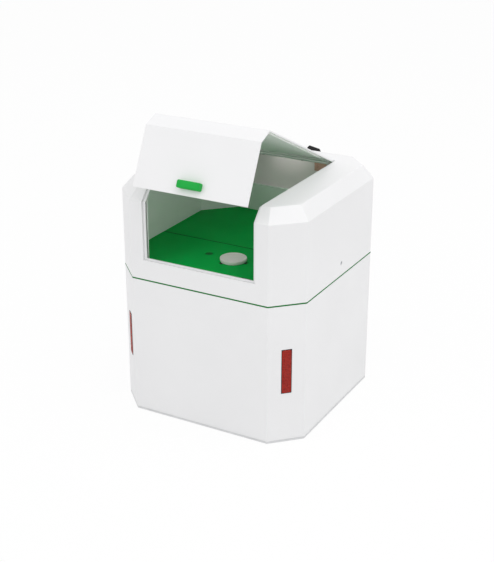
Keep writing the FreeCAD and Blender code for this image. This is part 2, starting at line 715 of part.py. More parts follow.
def make_hinge():
    add_knuckles(new_hinge_piece("hinge_leaf_case"), 0, 1, size.wall)
    add_knuckles(new_lid_piece("hinge_leaf_lid"), 1, -1, size.lid_thick)

    pin = new_hinge_piece("hinge_pin")
    pad(pin, "YZ", [(0, 0, size.pin_radius)], -hinge_half, 2 * hinge_half)

    brackets = new_piece("hinge_brackets", several=True)
    sheet_low = case_leaf_low - size.chamber_sheet
    sheet_rear = bracket_face + size.chamber_sheet
    bottom = case_leaf_low - size.bracket_drop
    angle = [(bracket_face, case_leaf_low), (bracket_face + size.bracket_depth, case_leaf_low),
             (bracket_face + size.bracket_depth, sheet_low), (sheet_rear, sheet_low),
             (sheet_rear, bottom), (bracket_face, bottom)]
    for side in (-1, 1):
        pad(brackets, "YZ", [angle], side * bracket_x - size.bracket_width / 2, size.bracket_width)


lid_front = front - hinge_y
lid_low = sill - size.lid_overlap - hinge_z
lid_turn = wall_top - hinge_z


def lid_band(near, thick, low, rear):
    """The lid's folded profile: near is the depth under its outer face, thick its thickness."""
    far = near + thick
    return [(lid_front + near, low), (lid_front + near, lid_turn - front_shift * near),
            (lid_front + size.front_bevel + front_top_shift * near, size.hinge_drop - near),
            (rear, size.hinge_drop - near), (rear, size.hinge_drop - far),
            (lid_front + size.front_bevel + front_top_shift * far, size.hinge_drop - far),
            (lid_front + far, lid_turn - front_shift * far), (lid_front + far, low)]


handle_low = lid_low + size.handle_rise
handle_middle = handle_low + size.handle_height / 2


def make_lid():
    shell = new_lid_piece("lid_shell")
    pad(shell, "YZ", [lid_band(0, size.lid_thick, lid_low, -size.knuckle_slot)],
        -lid_half, 2 * lid_half)
    hole = size.screw_shank + size.pin_gap
    holes = [(side * size.handle_width / 4, handle_middle, hole) for side in (-1, 1)]
    cut(shell, "XZ", holes, -lid_front - size.lid_thick - 1, size.lid_thick + 2)

    liner = new_lid_piece("lid_liner")
    half = opening_half - size.liner_gap
    low = sill - hinge_z + size.liner_gap
    pad(liner, "YZ", [lid_band(size.lid_thick, size.liner_thick, low, -size.liner_rear)], -half, 2 * half)

    handle = new_lid_piece("lid_handle")
    grip = around(0, handle_middle, size.handle_width / 2, size.handle_height / 2)
    pad(handle, "XZ", [grip], -lid_front, size.handle_depth)
    round_edges(handle, size.handle_round,
                lambda edge: abs(edge.CenterOfMass.y - lid_front.number) > 0.01)
    scoop = (lid_front - size.scoop_radius, handle_low + size.scoop_rise - size.scoop_radius,
             size.scoop_radius)
    scoop_half = size.handle_width / 2 - size.scoop_end
    cut(handle, "YZ", [scoop], -scoop_half, 2 * scoop_half)
    cut(handle, "XZ", holes, -lid_front - 1, size.handle_depth / 2 + 1)

    screws = new_lid_piece("handle_screws", several=True)
    places = [(side * size.handle_width / 4, handle_middle, size.screw_shank) for side in (-1, 1)]
    pad(screws, "XZ", places, -lid_front - size.lid_thick, size.lid_thick + size.handle_depth / 2)


def chamber_plan(inset):
    """The chamber's plan inside its walls, moved in: half its width and depth, and its corners' legs."""
    return chamber_x - inset, chamber_y - inset, size.chamber_corner - leg_share * inset


def mirrored(right):
    """A closed outline from its right half."""
    return right + [(-x, y) for x, y in reversed(right)]


def deck_plan():
    """Inside the chamber walls, and in front of their ends as wide as the opening's frame."""
    half_x, half_y, leg = chamber_plan(size.fit_gap)
    wing = opening_half + size.frame_land
    wing_rear = -chamber_y - size.chamber_sheet - size.fit_gap
    nose = chamber_x - size.chamber_corner - size.fit_gap
    return mirrored([(wing, front + size.deck_inset), (wing, wing_rear), (nose, wing_rear),
                     (nose, mitre * size.fit_gap - chamber_y), (half_x, leg - half_y),
                     (half_x, half_y - leg), (half_x - leg, half_y)])


def notch(cosine, sine):
    """A rectangle from under the sample cup's edge outwards, turned about the measuring point."""
    inner = size.cup_radius - 1
    outer = size.cup_radius + size.notch_length
    half = size.notch_width / 2
    return [(size.measure_x + cosine * reach - sine * side, sine * reach + cosine * side - size.measure_y)
            for reach, side in ((inner, -half), (outer, -half), (outer, half), (inner, half))]


def make_deck():
    far = size.width + size.depth
    seam_front = -size.deck_seam_y - size.deck_seam_gap / 2
    seam_rear = -size.deck_seam_y + size.deck_seam_gap / 2
    ring_hole = (size.measure_x, -size.measure_y, size.ring_radius + size.fit_gap)
    window = (size.measure_x, -size.measure_y, size.film_radius + size.fit_gap)

    fore = new_piece("deck_front")
    pad(fore, "XY", [deck_plan()], deck_low, size.deck_thick)
    cut(fore, "XY", [rectangle(-far, far, seam_front, far)], deck_low - 1, size.deck_thick + 2)
    cut(fore, "XY", [ring_hole], deck_top - size.ring_depth, size.deck_thick)
    cut(fore, "XY", [window, (-size.camera_x, -size.camera_y, size.camera_radius + size.fit_gap)],
        deck_low - 1, size.deck_thick + 2)

    notches = []
    for index in range(int(size.notch_count.number)):
        turn = 2 * math.pi * index / size.notch_count.number
        notches.append(notch(round(math.cos(turn), 6), round(math.sin(turn), 6)))
    cut(fore, "XY", notches, deck_top - size.ring_depth, size.deck_thick)

    rear = new_piece("deck_rear")
    pad(rear, "XY", [deck_plan()], deck_low, size.deck_thick)
    cut(rear, "XY", [rectangle(-far, far, -far, seam_rear)], deck_low - 1, size.deck_thick + 2)

    frame = new_piece("deck_frame")
    half_x, half_y, leg = chamber_plan(size.deck_seat)
    front_y = front + size.deck_frame_width
    front_leg = leg - front_y - half_y
    opening = mirrored([(half_x - front_leg, front_y), (half_x, front_y + front_leg),
                        (half_x, half_y - leg), (half_x - leg, half_y)])
    pad(frame, "XY", [octagon(size.wall + size.fit_gap), opening], deck_low - size.deck_frame_height,
        size.deck_frame_height)
    cut(frame, "YZ", [(size.cover_screw_y, cover_screw_z, size.screw_shank)], -size.width, 2 * size.width)

    screws = new_piece("cover_screws", several=True)
    head = (size.cover_screw_y, cover_screw_z, size.screw_radius)
    shank = (size.cover_screw_y, cover_screw_z, size.screw_shank - size.pin_gap)
    head_face = size.width / 2 - size.fit_gap / 2
    shank_start = head_face - size.screw_head
    length = size.deck_frame_width - size.screw_head
    pad(screws, "YZ", [head], -head_face, size.screw_head)
    pad(screws, "YZ", [shank], -shank_start, length)
    pad(screws, "YZ", [head], shank_start, size.screw_head)
    pad(screws, "YZ", [shank], shank_start - length, length)

    ring = new_piece("aperture_ring")
    spot = (size.measure_x, -size.measure_y, size.ring_hole)
    pad(ring, "XY", [(size.measure_x, -size.measure_y, size.ring_radius), spot],
        deck_top - size.ring_depth, size.ring_depth)

    film = new_piece("window_film")
    pad(film, "XY", [(size.measure_x, -size.measure_y, size.film_radius)],
        deck_top - size.ring_depth - size.film_thick, size.film_thick)

    glass = new_piece("camera_window")
    pad(glass, "XY", [(-size.camera_x, -size.camera_y, size.camera_radius)], deck_low,
        size.deck_thick - size.glass_recess)

    camera = new_piece("sample_camera")
    barrel_low = deck_low - size.camera_depth
    pad(camera, "XY", [(-size.camera_x, -size.camera_y, size.camera_barrel)], barrel_low, size.camera_depth)
    pad(camera, "XY", [around(-size.camera_x, -size.camera_y, size.camera_board / 2, size.camera_board / 2)],
        barrel_low - size.board_thick, size.board_thick)

    cup = new_piece("sample_cup")
    low = deck_top + size.cup_gap
    face = deck_top + size.cup_height
    pad(cup, "XY", [(size.measure_x, -size.measure_y, size.cup_radius - size.cup_wall / 2)], low,
        size.cup_foot)
    pad(cup, "XY", [(size.measure_x, -size.measure_y, size.cup_radius)], low + size.cup_foot,
        face - low - size.cup_foot)
    cut(cup, "XY", [(size.measure_x, -size.measure_y, size.cup_radius - size.cup_wall)],
        face - size.cup_wall / 2, size.cup_wall)


def make_chamber():
    """Chamber walls: bent sheets round the deck, standing on its frame."""
    leg = size.chamber_corner
    sheet_thick = size.chamber_sheet
    high = top - size.chamber_top_gap
    turn = mitre * sheet_thick
    for side, name in ((-1, "chamber_wall_left"), (1, "chamber_wall_right")):
        body = new_piece(name)
        path = [(chamber_x - leg, chamber_y), (chamber_x, chamber_y - leg), (chamber_x, leg - chamber_y),
                (chamber_x - leg, -chamber_y),
                (chamber_x - leg + turn, -chamber_y - sheet_thick),
                (chamber_x + sheet_thick, leg - chamber_y - turn),
                (chamber_x + sheet_thick, chamber_y - leg + turn),
                (chamber_x - leg + turn, chamber_y + sheet_thick)]
        pad(body, "XY", [[(side * x, y) for x, y in path]], deck_low, high - deck_low)

    edge = chamber_x - leg - size.fit_gap
    ledge = deck_top + size.ledge_height
    lower = new_piece("chamber_back_lower")
    profile = [(chamber_y, deck_low), (chamber_y + sheet_thick, deck_low),
               (chamber_y + sheet_thick, ledge - sheet_thick),
               (chamber_y + size.ledge_depth, ledge - sheet_thick), (chamber_y + size.ledge_depth, ledge),
               (chamber_y, ledge)]
    pad(lower, "YZ", [profile], -edge, 2 * edge)

    upper = new_piece("chamber_back_upper")
    rear = chamber_y + size.ledge_depth
    low = ledge - sheet_thick - size.chamber_lap
    pad(upper, "YZ", [rectangle(rear, rear + sheet_thick, low, high)], -edge, 2 * edge)


def make_lamps():
    boards = new_piece("lamp_boards", several=True)
    for side, name in ((-1, "lamp_lens_left"), (1, "lamp_lens_right")):
        lens = new_piece(name)
        corner_pad(lens, side, lens_half, lens_bottom, lens_top, -size.wall, size.wall + size.lens_proud)
        corner_pad(boards, side, lens_half + size.board_margin, lens_bottom - size.board_margin,
                   lens_top + size.board_margin, -size.wall - size.fit_gap - size.board_thick,
                   size.board_thick)


def make_beacon():
    body = new_piece("beacon")
    slope = math.degrees(math.atan(size.bevel_rise.number / size.bevel_inset.number))
    body.Placement = Placement(Vector(), Rotation(Vector(1, 0, 0), -slope))
    body.setExpression("Placement.Base.x", size.beacon_x.text)
    body.setExpression("Placement.Base.y", (size.case_y + back - size.bevel_inset / 2).text)
    body.setExpression("Placement.Base.z", (wall_top + size.bevel_rise / 2).text)
    body.setExpression("Placement.Rotation.Angle", "-atan(Size.bevel_rise / Size.bevel_inset)")
    half = size.beacon_length / 2
    profile = [(-half, size.fit_gap), (half, size.fit_gap), (half, size.beacon_height - size.beacon_fall),
               (size.beacon_flat - half, size.beacon_height), (-half, size.beacon_height)]
    pad(body, "XZ", [profile], -size.beacon_width / 2, size.beacon_width)
    round_edges(body, size.beacon_round, lambda edge: edge.CenterOfMass.z > 2 * size.fit_gap.number)


def head_plane(body, loops, side):
    """A sketch through the measuring point, square to one of the two leaning beam axes."""
    sketch = draw(body, "XY", loops)
    sketch.AttachmentOffset = Placement(Vector(), Rotation(Vector(0, 1, 0), -side * size.tube_angle.number))
    sketch.setExpression("AttachmentOffset.Base.x", size.measure_x.text)
    sketch.setExpression("AttachmentOffset.Base.y", (-size.measure_y).text)
    sketch.setExpression("AttachmentOffset.Base.z", deck_top.text)
    sketch.setExpression("AttachmentOffset.Rotation.Angle", "%d * Size.tube_angle * 1 deg" % -side)
    return sketch


# Distance from the measuring point down each beam axis to the head block's leaning face.
head_face = (size.head_half + size.head_step + size.deck_thick) * diagonal
head_low = size.head_half - size.head_step
groove_half = size.slide_width / 2 + size.slide_gap
groove_depth = size.slide_thick + 2 * size.slide_gap


def make_head_block():
    body = new_piece("head_block")
    x = size.measure_x
    half = size.head_half
    low = deck_low - size.head_step - head_low
    outline = [(x - half, deck_low), (x - half, deck_low - size.head_step), (x - size.head_step, low),
               (x + size.head_step, low), (x + half, deck_low - size.head_step), (x + half, deck_low),
               (x + groove_half, deck_low), (x + groove_half, deck_low - groove_depth),
               (x - groove_half, deck_low - groove_depth), (x - groove_half, deck_low)]
    pad(body, "XZ", [outline], size.measure_y - size.head_depth / 2, size.head_depth)
    for side, radius in ((-1, size.snout_radius), (1, size.detector_snout)):
        feature = body.newObject("PartDesign::Pocket", "beam_bore")
        feature.Profile = head_plane(body, [(0, 0, radius + size.fit_gap)], side)
        feature.setExpression("Length", (head_face + 1).text)
    cut(body, "XY", [(x, -size.measure_y, size.film_radius)], deck_low - size.head_step, size.head_step)


def make_collimator():
    slide = new_piece("collimator_slide")
    x = size.measure_x
    y = -size.measure_y
    high = deck_low - size.slide_gap
    holes = [(x, y - size.slide_step, size.hole_small), (x, y, size.hole_large),
             (x, y + size.slide_step, size.hole_middle)]
    pad(slide, "XY", [rectangle(x - size.slide_width / 2, x + size.slide_width / 2,
                                y - size.slide_length / 2, y + size.slide_length / 2)] + holes,
        high - size.slide_thick, size.slide_thick)

    rear = y + size.head_depth / 2
    actuator_top = deck_low - groove_depth
    actuator = box("slide_actuator", x - size.slide_width / 2, x + size.slide_width / 2, rear,
                   rear + size.actuator_length, actuator_top - size.actuator_height, actuator_top)
    can_end = rear + size.actuator_length + size.can_length
    pad(actuator, "XZ", [(x, actuator_top - size.actuator_height / 2, size.actuator_can)], -can_end,
        size.can_length)


# Unit directions of the filter places, the first one on the beam.
filter_turns = []
for index in range(int(size.filter_count.number)):
    angle = 2 * math.pi * index / size.filter_count.number
    filter_turns.append((round(math.sin(angle), 6), round(math.cos(angle), 6)))


def make_tube():
    wheel_y = -size.wheel_offset
    plate_top = -head_face - size.wheel_space
    plate_low = plate_top - size.plate_thick
    post_x = head_low / 2
    posts = [(side * post_x, place, size.post_radius) for side in (-1, 1)
             for place in (size.post_near, size.post_near + size.post_pitch)]

    plate = new_beam_piece("tube_plate", -1)
    half_plate = size.tube_radius + size.motor_radius
    pad(plate, "XY", [rectangle(-half_plate, half_plate, wheel_y - size.plate_front, size.plate_rear)],
        plate_low, size.plate_thick)
    pad(plate, "XY", posts, plate_top, size.wheel_space)
    holes = [(0, 0, size.snout_radius + size.fit_gap), (0, wheel_y, size.shaft_radius + size.fit_gap)]
    cut(plate, "XY", holes, plate_low - 1, size.plate_thick + 2)

    tube = new_beam_piece("xray_tube", -1)
    pad(tube, "XY", [(0, 0, size.tube_radius)], plate_low - size.tube_length, size.tube_length)
    pad(tube, "XY", [(0, 0, size.snout_radius)], plate_low, size.plate_thick + size.snout_step)
    tube_end = plate_low - size.tube_length
    pad(tube, "XY", [(0, 0, size.collar_radius)], tube_end - size.collar_length, size.collar_length)
    pad(tube, "XY", [(0, 0, size.plug_radius)], tube_end - 2 * size.collar_length, size.collar_length)

    motor = new_beam_piece("filter_motor", -1)
    pad(motor, "XY", [(0, wheel_y, size.motor_radius)], plate_low - size.motor_length, size.motor_length)
    shaft_top = -head_face - size.snout_step
    pad(motor, "XY", [(0, wheel_y, size.shaft_radius)], plate_low, shaft_top - plate_low)

    wheel = new_beam_piece("filter_wheel", -1)
    wheel_low = plate_top + (size.wheel_space - size.wheel_thick) / 2
    hub_thick = 3 * size.wheel_thick / 2
    pad(wheel, "XY", [(0, wheel_y, size.wheel_radius)], wheel_low, size.wheel_thick)
    pad(wheel, "XY", [(0, wheel_y, 3 * size.shaft_radius)], wheel_low, hub_thick)
    spots = [(across * size.wheel_offset, wheel_y + down * size.wheel_offset)
             for across, down in filter_turns]
    cut(wheel, "XY", [(x, y, size.filter_radius) for x, y in spots], wheel_low - 1, hub_thick + 2)
    cut(wheel, "XY", [(0, wheel_y, size.shaft_radius + size.run_gap)], wheel_low - 1, hub_thick + 2)

    foils = new_beam_piece("filter_foils", -1, several=True)
    pad(foils, "XY", [(x, y, size.filter_radius) for x, y in spots[1:]],
        wheel_low + size.wheel_thick / 2, size.foil_thick)


def make_detector():
    detector = new_beam_piece("detector", 1)
    flange = size.detector_radius + size.flange_margin
    pad(detector, "XY", [around(0, 0, flange, flange)], -head_face - size.flange_thick, size.flange_thick)
    pad(detector, "XY", [(0, 0, size.detector_radius)], -head_face - size.detector_length,
        size.detector_length)
    pad(detector, "XY", [(0, 0, size.detector_snout)], -head_face, size.snout_reach)

    processor = new_beam_piece("pulse_processor", 1)
    pad(processor, "XY", [around(0, 0, size.processor_half, size.processor_half)],
        -head_face - size.detector_length - size.processor_thick, size.processor_thick)
    round_edges(processor, size.supply_round, along((0, 0, 1)))


def make_supply(name, x, width, depth, height):
    """A closed supply housing with rounded upright edges on a mounting flange."""
    body = new_piece(name)
    pad(body, "XY", [around(x, 0, width / 2, depth / 2)], base_top, height)
    round_edges(body, size.supply_round, along((0, 0, 1)))
    pad(body, "XY", [around(x, 0, width / 2, depth / 2 + size.supply_foot)], base_top, size.upright_thick)
    hole_y = depth / 2 + size.supply_foot / 2
    holes = [(x + side * width / 4, end * hole_y, size.screw_shank) for side in (-1, 1) for end in (-1, 1)]
    cut(body, "XY", holes, base_top - 1, size.upright_thick + 2)
    return body


def make_electronics():
    hv_x = size.width / 2 - size.hv_side - size.hv_width / 2
    high_voltage = make_supply("hv_supply", -hv_x, size.hv_width, size.hv_depth, size.hv_height)
    pad(high_voltage, "XY", [(-hv_x, 0, size.socket_radius)], base_top + size.hv_height, size.socket_height)

    mains_x = size.width / 2 - size.mains_side - size.mains_width / 2
    mains = make_supply("mains_supply", mains_x, size.mains_width, size.mains_depth, size.mains_height)
    slots = []
    for index in range(int(size.slot_count.number)):
        slot_y = (index - (size.slot_count.number - 1) / 2) * size.slot_step
        slots.append(around(mains_x, slot_y, size.mains_width / 3, size.slot_width / 2))
    cut(mains, "XY", slots, base_top + size.mains_height - size.slot_depth, size.slot_depth + 1)

    board_low_x = size.hv_width / 2 - hv_x + size.board_left
    board_high_x = mains_x - size.mains_width / 2 - size.board_right
    middle = (board_low_x + board_high_x) / 2
    half_x = (board_high_x - board_low_x) / 2
    half_y = size.board_depth / 2
    board_low = base_top + size.board_rise
    box("control_board", board_low_x, board_high_x, -half_y, half_y, board_low, board_low + size.board_thick)
    posts = new_piece("board_standoffs", several=True)
    post_x = half_x - size.post_inset
    post_y = half_y - size.post_inset
    pad(posts, "XY", [(middle + side * post_x, end * post_y, size.post_radius)
                      for side in (-1, 1) for end in (-1, 1)], base_top, size.board_rise)

    parts = new_piece("board_components", several=True)
    board_top = board_low + size.board_thick
    left = board_low_x + size.part_margin
    right = board_high_x - size.part_margin
    edge_y = half_y - 2 * size.part_margin
    coil_rear = edge_y - size.plug_length - size.part_gap
    chip_rear = coil_rear - size.coil_depth - size.part_gap
    pad(parts, "XY", [rectangle(middle - size.chip_side / 2, middle + size.chip_side / 2,
                                chip_rear - size.chip_side, chip_rear)], board_top, size.chip_height)
    pad(parts, "XY", [rectangle(left, left + size.coil_width, coil_rear - size.coil_depth, coil_rear)],
        board_top, size.coil_height)
    pad(parts, "XY", [rectangle(right - size.plug_width, right, edge_y - size.plug_length, edge_y),
                      rectangle(left, left + size.plug_width, -edge_y, size.plug_length - edge_y)],
        board_top, size.plug_height)
    cans = [(middle + size.can_radius, -edge_y + place * size.can_pitch, size.can_radius)
            for place in (0.5, 1.5)]
    pad(parts, "XY", cans, board_top, size.can_height)


def make_uprights():
    """Four angles that carry the deck's frame on the base plate."""
    body = new_piece("chassis_uprights", several=True)
    outer = size.width / 2 - size.seam_width - size.fit_gap
    inner = outer - size.upright_side
    thick = size.upright_thick
    middle = back - size.corner - size.upright_set
    for side in (-1, 1):
        for end in (-1, 1):
            near = end * (middle - size.upright_width / 2)
            far = end * (middle + size.upright_width / 2)
            angle = [(side * outer, near), (side * outer, far), (side * (outer - thick), far),
                     (side * (outer - thick), near + end * thick), (side * inner, near + end * thick),
                     (side * inner, near)]
            pad(body, "XY", [angle], base_top, deck_low - size.deck_frame_height - base_top)


fan_x = panel_half - size.fan_side
inlet_x = panel_half - size.inlet_side
inlet_z = panel_bottom + size.inlet_rise
switch_z = inlet_z + size.switch_rise
port_z = inlet_z + size.port_rise
switch_pivot_y = panel_face - size.switch_set
rocker_half = size.switch_height / 2
well_x = size.switch_width / 2 + size.fit_gap
well_z = rocker_half + 2 * size.switch_gap
fan_corner = size.fan_pitch / 2
fan_corners = [(side * fan_corner, end * fan_corner) for side in (-1, 1) for end in (-1, 1)]


def make_rear_panel():
    panel = new_piece("rear_panel")
    half = panel_half + size.panel_margin
    fan_holes = [(x - fan_x, panel_middle + z, size.fan_screw + size.fit_gap) for x, z in fan_corners]
    panel_holes = [(x, z, size.screw_shank + size.fit_gap) for x, z in panel_screw_places]
    openings = [(-fan_x, panel_middle, size.fan_bore),
                around(inlet_x, inlet_z, size.inlet_width / 2 + size.fit_gap,
                       size.inlet_height / 2 + size.fit_gap),
                around(inlet_x, switch_z, well_x + size.switch_wall + size.fit_gap,
                       well_z + size.switch_wall + size.fit_gap),
                around(inlet_x, port_z, size.port_width / 2 + size.fit_gap,
                       size.port_height / 2 + size.fit_gap)]
    outline = rectangle(-half, half, panel_bottom - size.panel_margin, panel_top + size.panel_margin)
    pad(panel, "XZ", [outline] + openings + fan_holes + panel_holes, -panel_face, size.panel_thick)

    screws = new_piece("panel_screws", several=True)
    pad(screws, "XZ", [(x, z, size.screw_radius) for x, z in panel_screw_places], -back - size.screw_head,
        size.screw_head)
    pad(screws, "XZ", [(x, z, size.screw_shank) for x, z in panel_screw_places], -back,
        size.wall + size.fit_gap + size.panel_thick + 1)


def make_inlet():
    body = new_piece("power_inlet")
    flange_low = inlet_z - size.inlet_height / 2 - size.inlet_flange
    flange_high = switch_z + well_z + size.switch_wall + size.inlet_flange
    half = size.inlet_width / 2 + size.inlet_flange
    flange_thick = size.wall - size.fit_gap
    outside = -panel_face - size.wall - 1
    pad(body, "XZ", [rectangle(inlet_x - half, inlet_x + half, flange_low, flange_high)],
        -panel_face - flange_thick, flange_thick)
    pad(body, "XZ", [around(inlet_x, inlet_z, size.inlet_width / 2, size.inlet_height / 2),
                     around(inlet_x, switch_z, well_x + size.switch_wall, well_z + size.switch_wall)],
        -panel_face, size.inlet_depth)
    cut(body, "XZ", [around(inlet_x, inlet_z, size.inlet_width / 2 - size.inlet_wall,
                            size.inlet_height / 2 - size.inlet_wall)],
        outside, -panel_face + size.inlet_depth - size.inlet_floor - outside)
    cut(body, "XZ", [around(inlet_x, switch_z, well_x, well_z)], outside,
        -panel_face + size.switch_well - outside)
    bottom = -panel_face + size.inlet_depth - size.inlet_floor
    for across, up in ((-1, -1), (1, -1), (0, 1)):
        blade = around(inlet_x + across * size.blade_x, inlet_z + up * size.blade_z,
                       size.blade_width / 2, size.blade_height / 2)
        pad(body, "XZ", [blade], bottom - size.blade_length, size.blade_length)

    rocker = new_piece("power_switch")
    rocker.Placement = Placement(Vector(), Rotation(Vector(1, 0, 0), -size.switch_tilt.number))
    rocker.setExpression("Placement.Base.x", inlet_x.text)
    rocker.setExpression("Placement.Base.y", (size.case_y + switch_pivot_y).text)
    rocker.setExpression("Placement.Base.z", switch_z.text)
    rocker.setExpression("Placement.Rotation.Angle", "-Size.switch_tilt * 1 deg")
    swell = size.switch_swell
    wedge = [(swell, -rocker_half), (swell - size.switch_dip, 0), (swell, rocker_half),
             (-size.switch_edge, rocker_half), (-size.switch_root, 0), (-size.switch_edge, -rocker_half)]
    pad(rocker, "YZ", [wedge], -size.switch_width / 2, size.switch_width)

    port = new_piece("data_port")
    near = -panel_face - size.wall / 2
    pad(port, "XZ", [around(inlet_x, port_z, size.port_width / 2, size.port_height / 2)],
        near, size.port_depth)
    cut(port, "XZ", [around(inlet_x, port_z, size.port_width / 2 - size.port_wall,
                            size.port_height / 2 - size.port_wall)],
        near - 1, size.port_depth - size.port_floor + 1)


def at_fan(body):
    body.setExpression("Placement.Base.x", (-fan_x).text)
    body.setExpression("Placement.Base.z", panel_middle.text)


def make_fan():
    near = panel_face - size.panel_thick
    far = near - size.fan_depth
    half = size.fan_size / 2
    bore = (0, 0, size.fan_bore)
    frame = new_piece("fan_frame")
    at_fan(frame)
    pad(frame, "XZ", [(0, 0, size.fan_bore + size.fan_barrel), bore], -near, size.fan_depth)
    for start in (-near, -far - size.fan_flange):
        pad(frame, "XZ", [around(0, 0, half, half), bore], start, size.fan_flange)
    strut = size.strut_width / 2
    reach = size.fan_bore + size.fan_barrel / 2
    strut_start = -far - size.strut_thick
    pad(frame, "XZ", [around(0, 0, reach, strut)], strut_start, size.strut_thick)
    pad(frame, "XZ", [around(0, 0, strut, reach)], strut_start, size.strut_thick)
    pad(frame, "XZ", [(0, 0, size.fan_hub)], strut_start, size.strut_thick)
    pad(frame, "XZ", [(0, 0, size.fan_axle)], strut_start - size.axle_length, size.axle_length)
    cut(frame, "XZ", [(x, z, size.fan_screw + size.pin_gap) for x, z in fan_corners], -near - 1,
        size.fan_depth + 2)

    rotor = new_piece("fan_rotor")
    at_fan(rotor)
    hub_start = -near + size.rotor_front
    hub_length = size.fan_depth - size.rotor_front - size.strut_thick - size.rotor_gap
    pad(rotor, "XZ", [(0, 0, size.fan_hub)], hub_start, hub_length)
    socket = size.axle_length - size.rotor_gap + size.fit_gap
    cut(rotor, "XZ", [(0, 0, size.fan_axle + size.pin_gap)], hub_start + hub_length - socket, socket + 1)
    add_blades(rotor, hub_start + hub_length / 2, hub_length / 2 - size.blade_inset)

    guard = new_piece("fan_guard")
    at_fan(guard)
    guard.Placement = Placement(Vector(), Rotation(Vector(0, 1, 0), 45))
    wire = size.guard_wire
    place = panel_face + wire
    corner = fan_corner / diagonal
    bar = corner - size.guard_eye + wire
    pad(guard, "XZ", [around(0, 0, bar, wire)], -place - wire, 2 * wire)
    pad(guard, "XZ", [around(0, 0, wire, bar)], -place - wire, 2 * wire)
    rings = []
    for index in range(int(size.guard_rings.number)):
        radius = size.fan_bore - index * size.guard_step
        rings += [(0, 0, radius + wire), (0, 0, radius - wire)]
    pad(guard, "XZ", rings, -place - wire, 2 * wire)
    eyes = [(corner, 0), (-corner, 0), (0, corner), (0, -corner)]
    eye_start = -place - size.eye_thick / 2
    pad(guard, "XZ", [(x, z, size.guard_eye) for x, z in eyes], eye_start, size.eye_thick)
    cut(guard, "XZ", [(x, z, size.fan_screw + size.pin_gap) for x, z in eyes], eye_start - 1,
        size.eye_thick + 2)

    screws = new_piece("fan_screws", several=True)
    at_fan(screws)
    head_end = -place - size.eye_thick / 2
    pad(screws, "XZ", [(x, z, 1.5 * size.fan_screw) for x, z in fan_corners], head_end - size.screw_head,
        size.screw_head)
    pad(screws, "XZ", [(x, z, size.fan_screw) for x, z in fan_corners], head_end,
        place + size.eye_thick / 2 - near + size.fan_depth)


def add_blades(rotor, middle, chord):
    """One twisted blade from the hub to the air way, repeated round the hub."""
    root = rotor.newObject("PartDesign::AdditiveLoft", "blade")
    thick = size.blade_thick

    def section(place, rise, run):
        loop = [(-middle - run, -rise), (-middle + run, rise - thick), (-middle + run, rise),
                (-middle - run, thick - rise)]
        return draw(rotor, "YZ", [loop], place)
    root.Profile = section(size.fan_hub - 1, size.blade_rise, chord)
    root.Sections = [section(size.fan_bore - size.blade_gap, size.blade_swing, chord * 0.8)]
    root.Ruled = True
    pattern = rotor.newObject("PartDesign::PolarPattern", "blades")
    pattern.Originals = [root]
    pattern.Axis = (rotor.Origin.OriginFeatures[1], [""])
    pattern.Angle = 360
    pattern.Occurrences = int(size.blade_count.number)
    rotor.Tip = pattern


def make_interlock():
    magnet = new_lid_piece("lid_magnet")
    face = lid_front + size.lid_thick + size.liner_thick
    spot = (magnet_x, lid_low + size.magnet_rise, size.magnet_radius)
    pad(magnet, "XZ", [spot], -face - size.magnet_thick, size.magnet_thick)
    far = front + size.wall + size.fit_gap + size.frame_thick
    half = size.sensor_width / 2
    box("lid_sensor", magnet_x - half, magnet_x + half, far, far + size.sensor_thick,
        deck_top + size.fit_gap, sill - size.sensor_drop)

    half = size.lamp_length / 2
    near = bracket_face + size.chamber_sheet + size.bracket_set
    lamp_low = case_leaf_low - size.lamp_height
    lamp = box("chamber_lamp", -half, half, near, near + size.lamp_width, lamp_low, case_leaf_low)
    round_edges(lamp, size.lamp_round, lambda edge: edge.CenterOfMass.z < lamp_low.number + 0.01)


make_lower_casing()
make_upper_casing()
make_seam_strip()
make_base()
make_opening_frame()
make_hinge()
make_lid()
make_deck()
make_chamber()
make_lamps()
make_beacon()
make_head_block()
make_collimator()
make_tube()
make_detector()
make_electronics()
make_uprights()
make_rear_panel()
make_inlet()
make_fan()
make_interlock()

doc.recompute()
for item in doc.Objects:
    if "Invalid" in item.State or "Error" in item.State:
        raise RuntimeError("%s failed: %s" % (item.Name, item.State))
    if item.TypeId == "PartDesign::Pocket" or item.TypeId == "PartDesign::SubtractiveLoft":
        if item.Shape.Volume >= item.BaseFeature.Shape.Volume - 0.01:
            raise RuntimeError(item.Name + " cuts nothing")
os.makedirs("parts", exist_ok=True)
for body in pieces:
    if body.Shape.isNull() or not body.Shape.isValid():
        raise RuntimeError(body.Label + " has no valid shape")
    body.Shape.exportStep("parts/%s.step" % body.Label)
print(len(pieces), "pieces")
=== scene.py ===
import json
import math

import bmesh
import bpy
from mathutils import Matrix, Vector


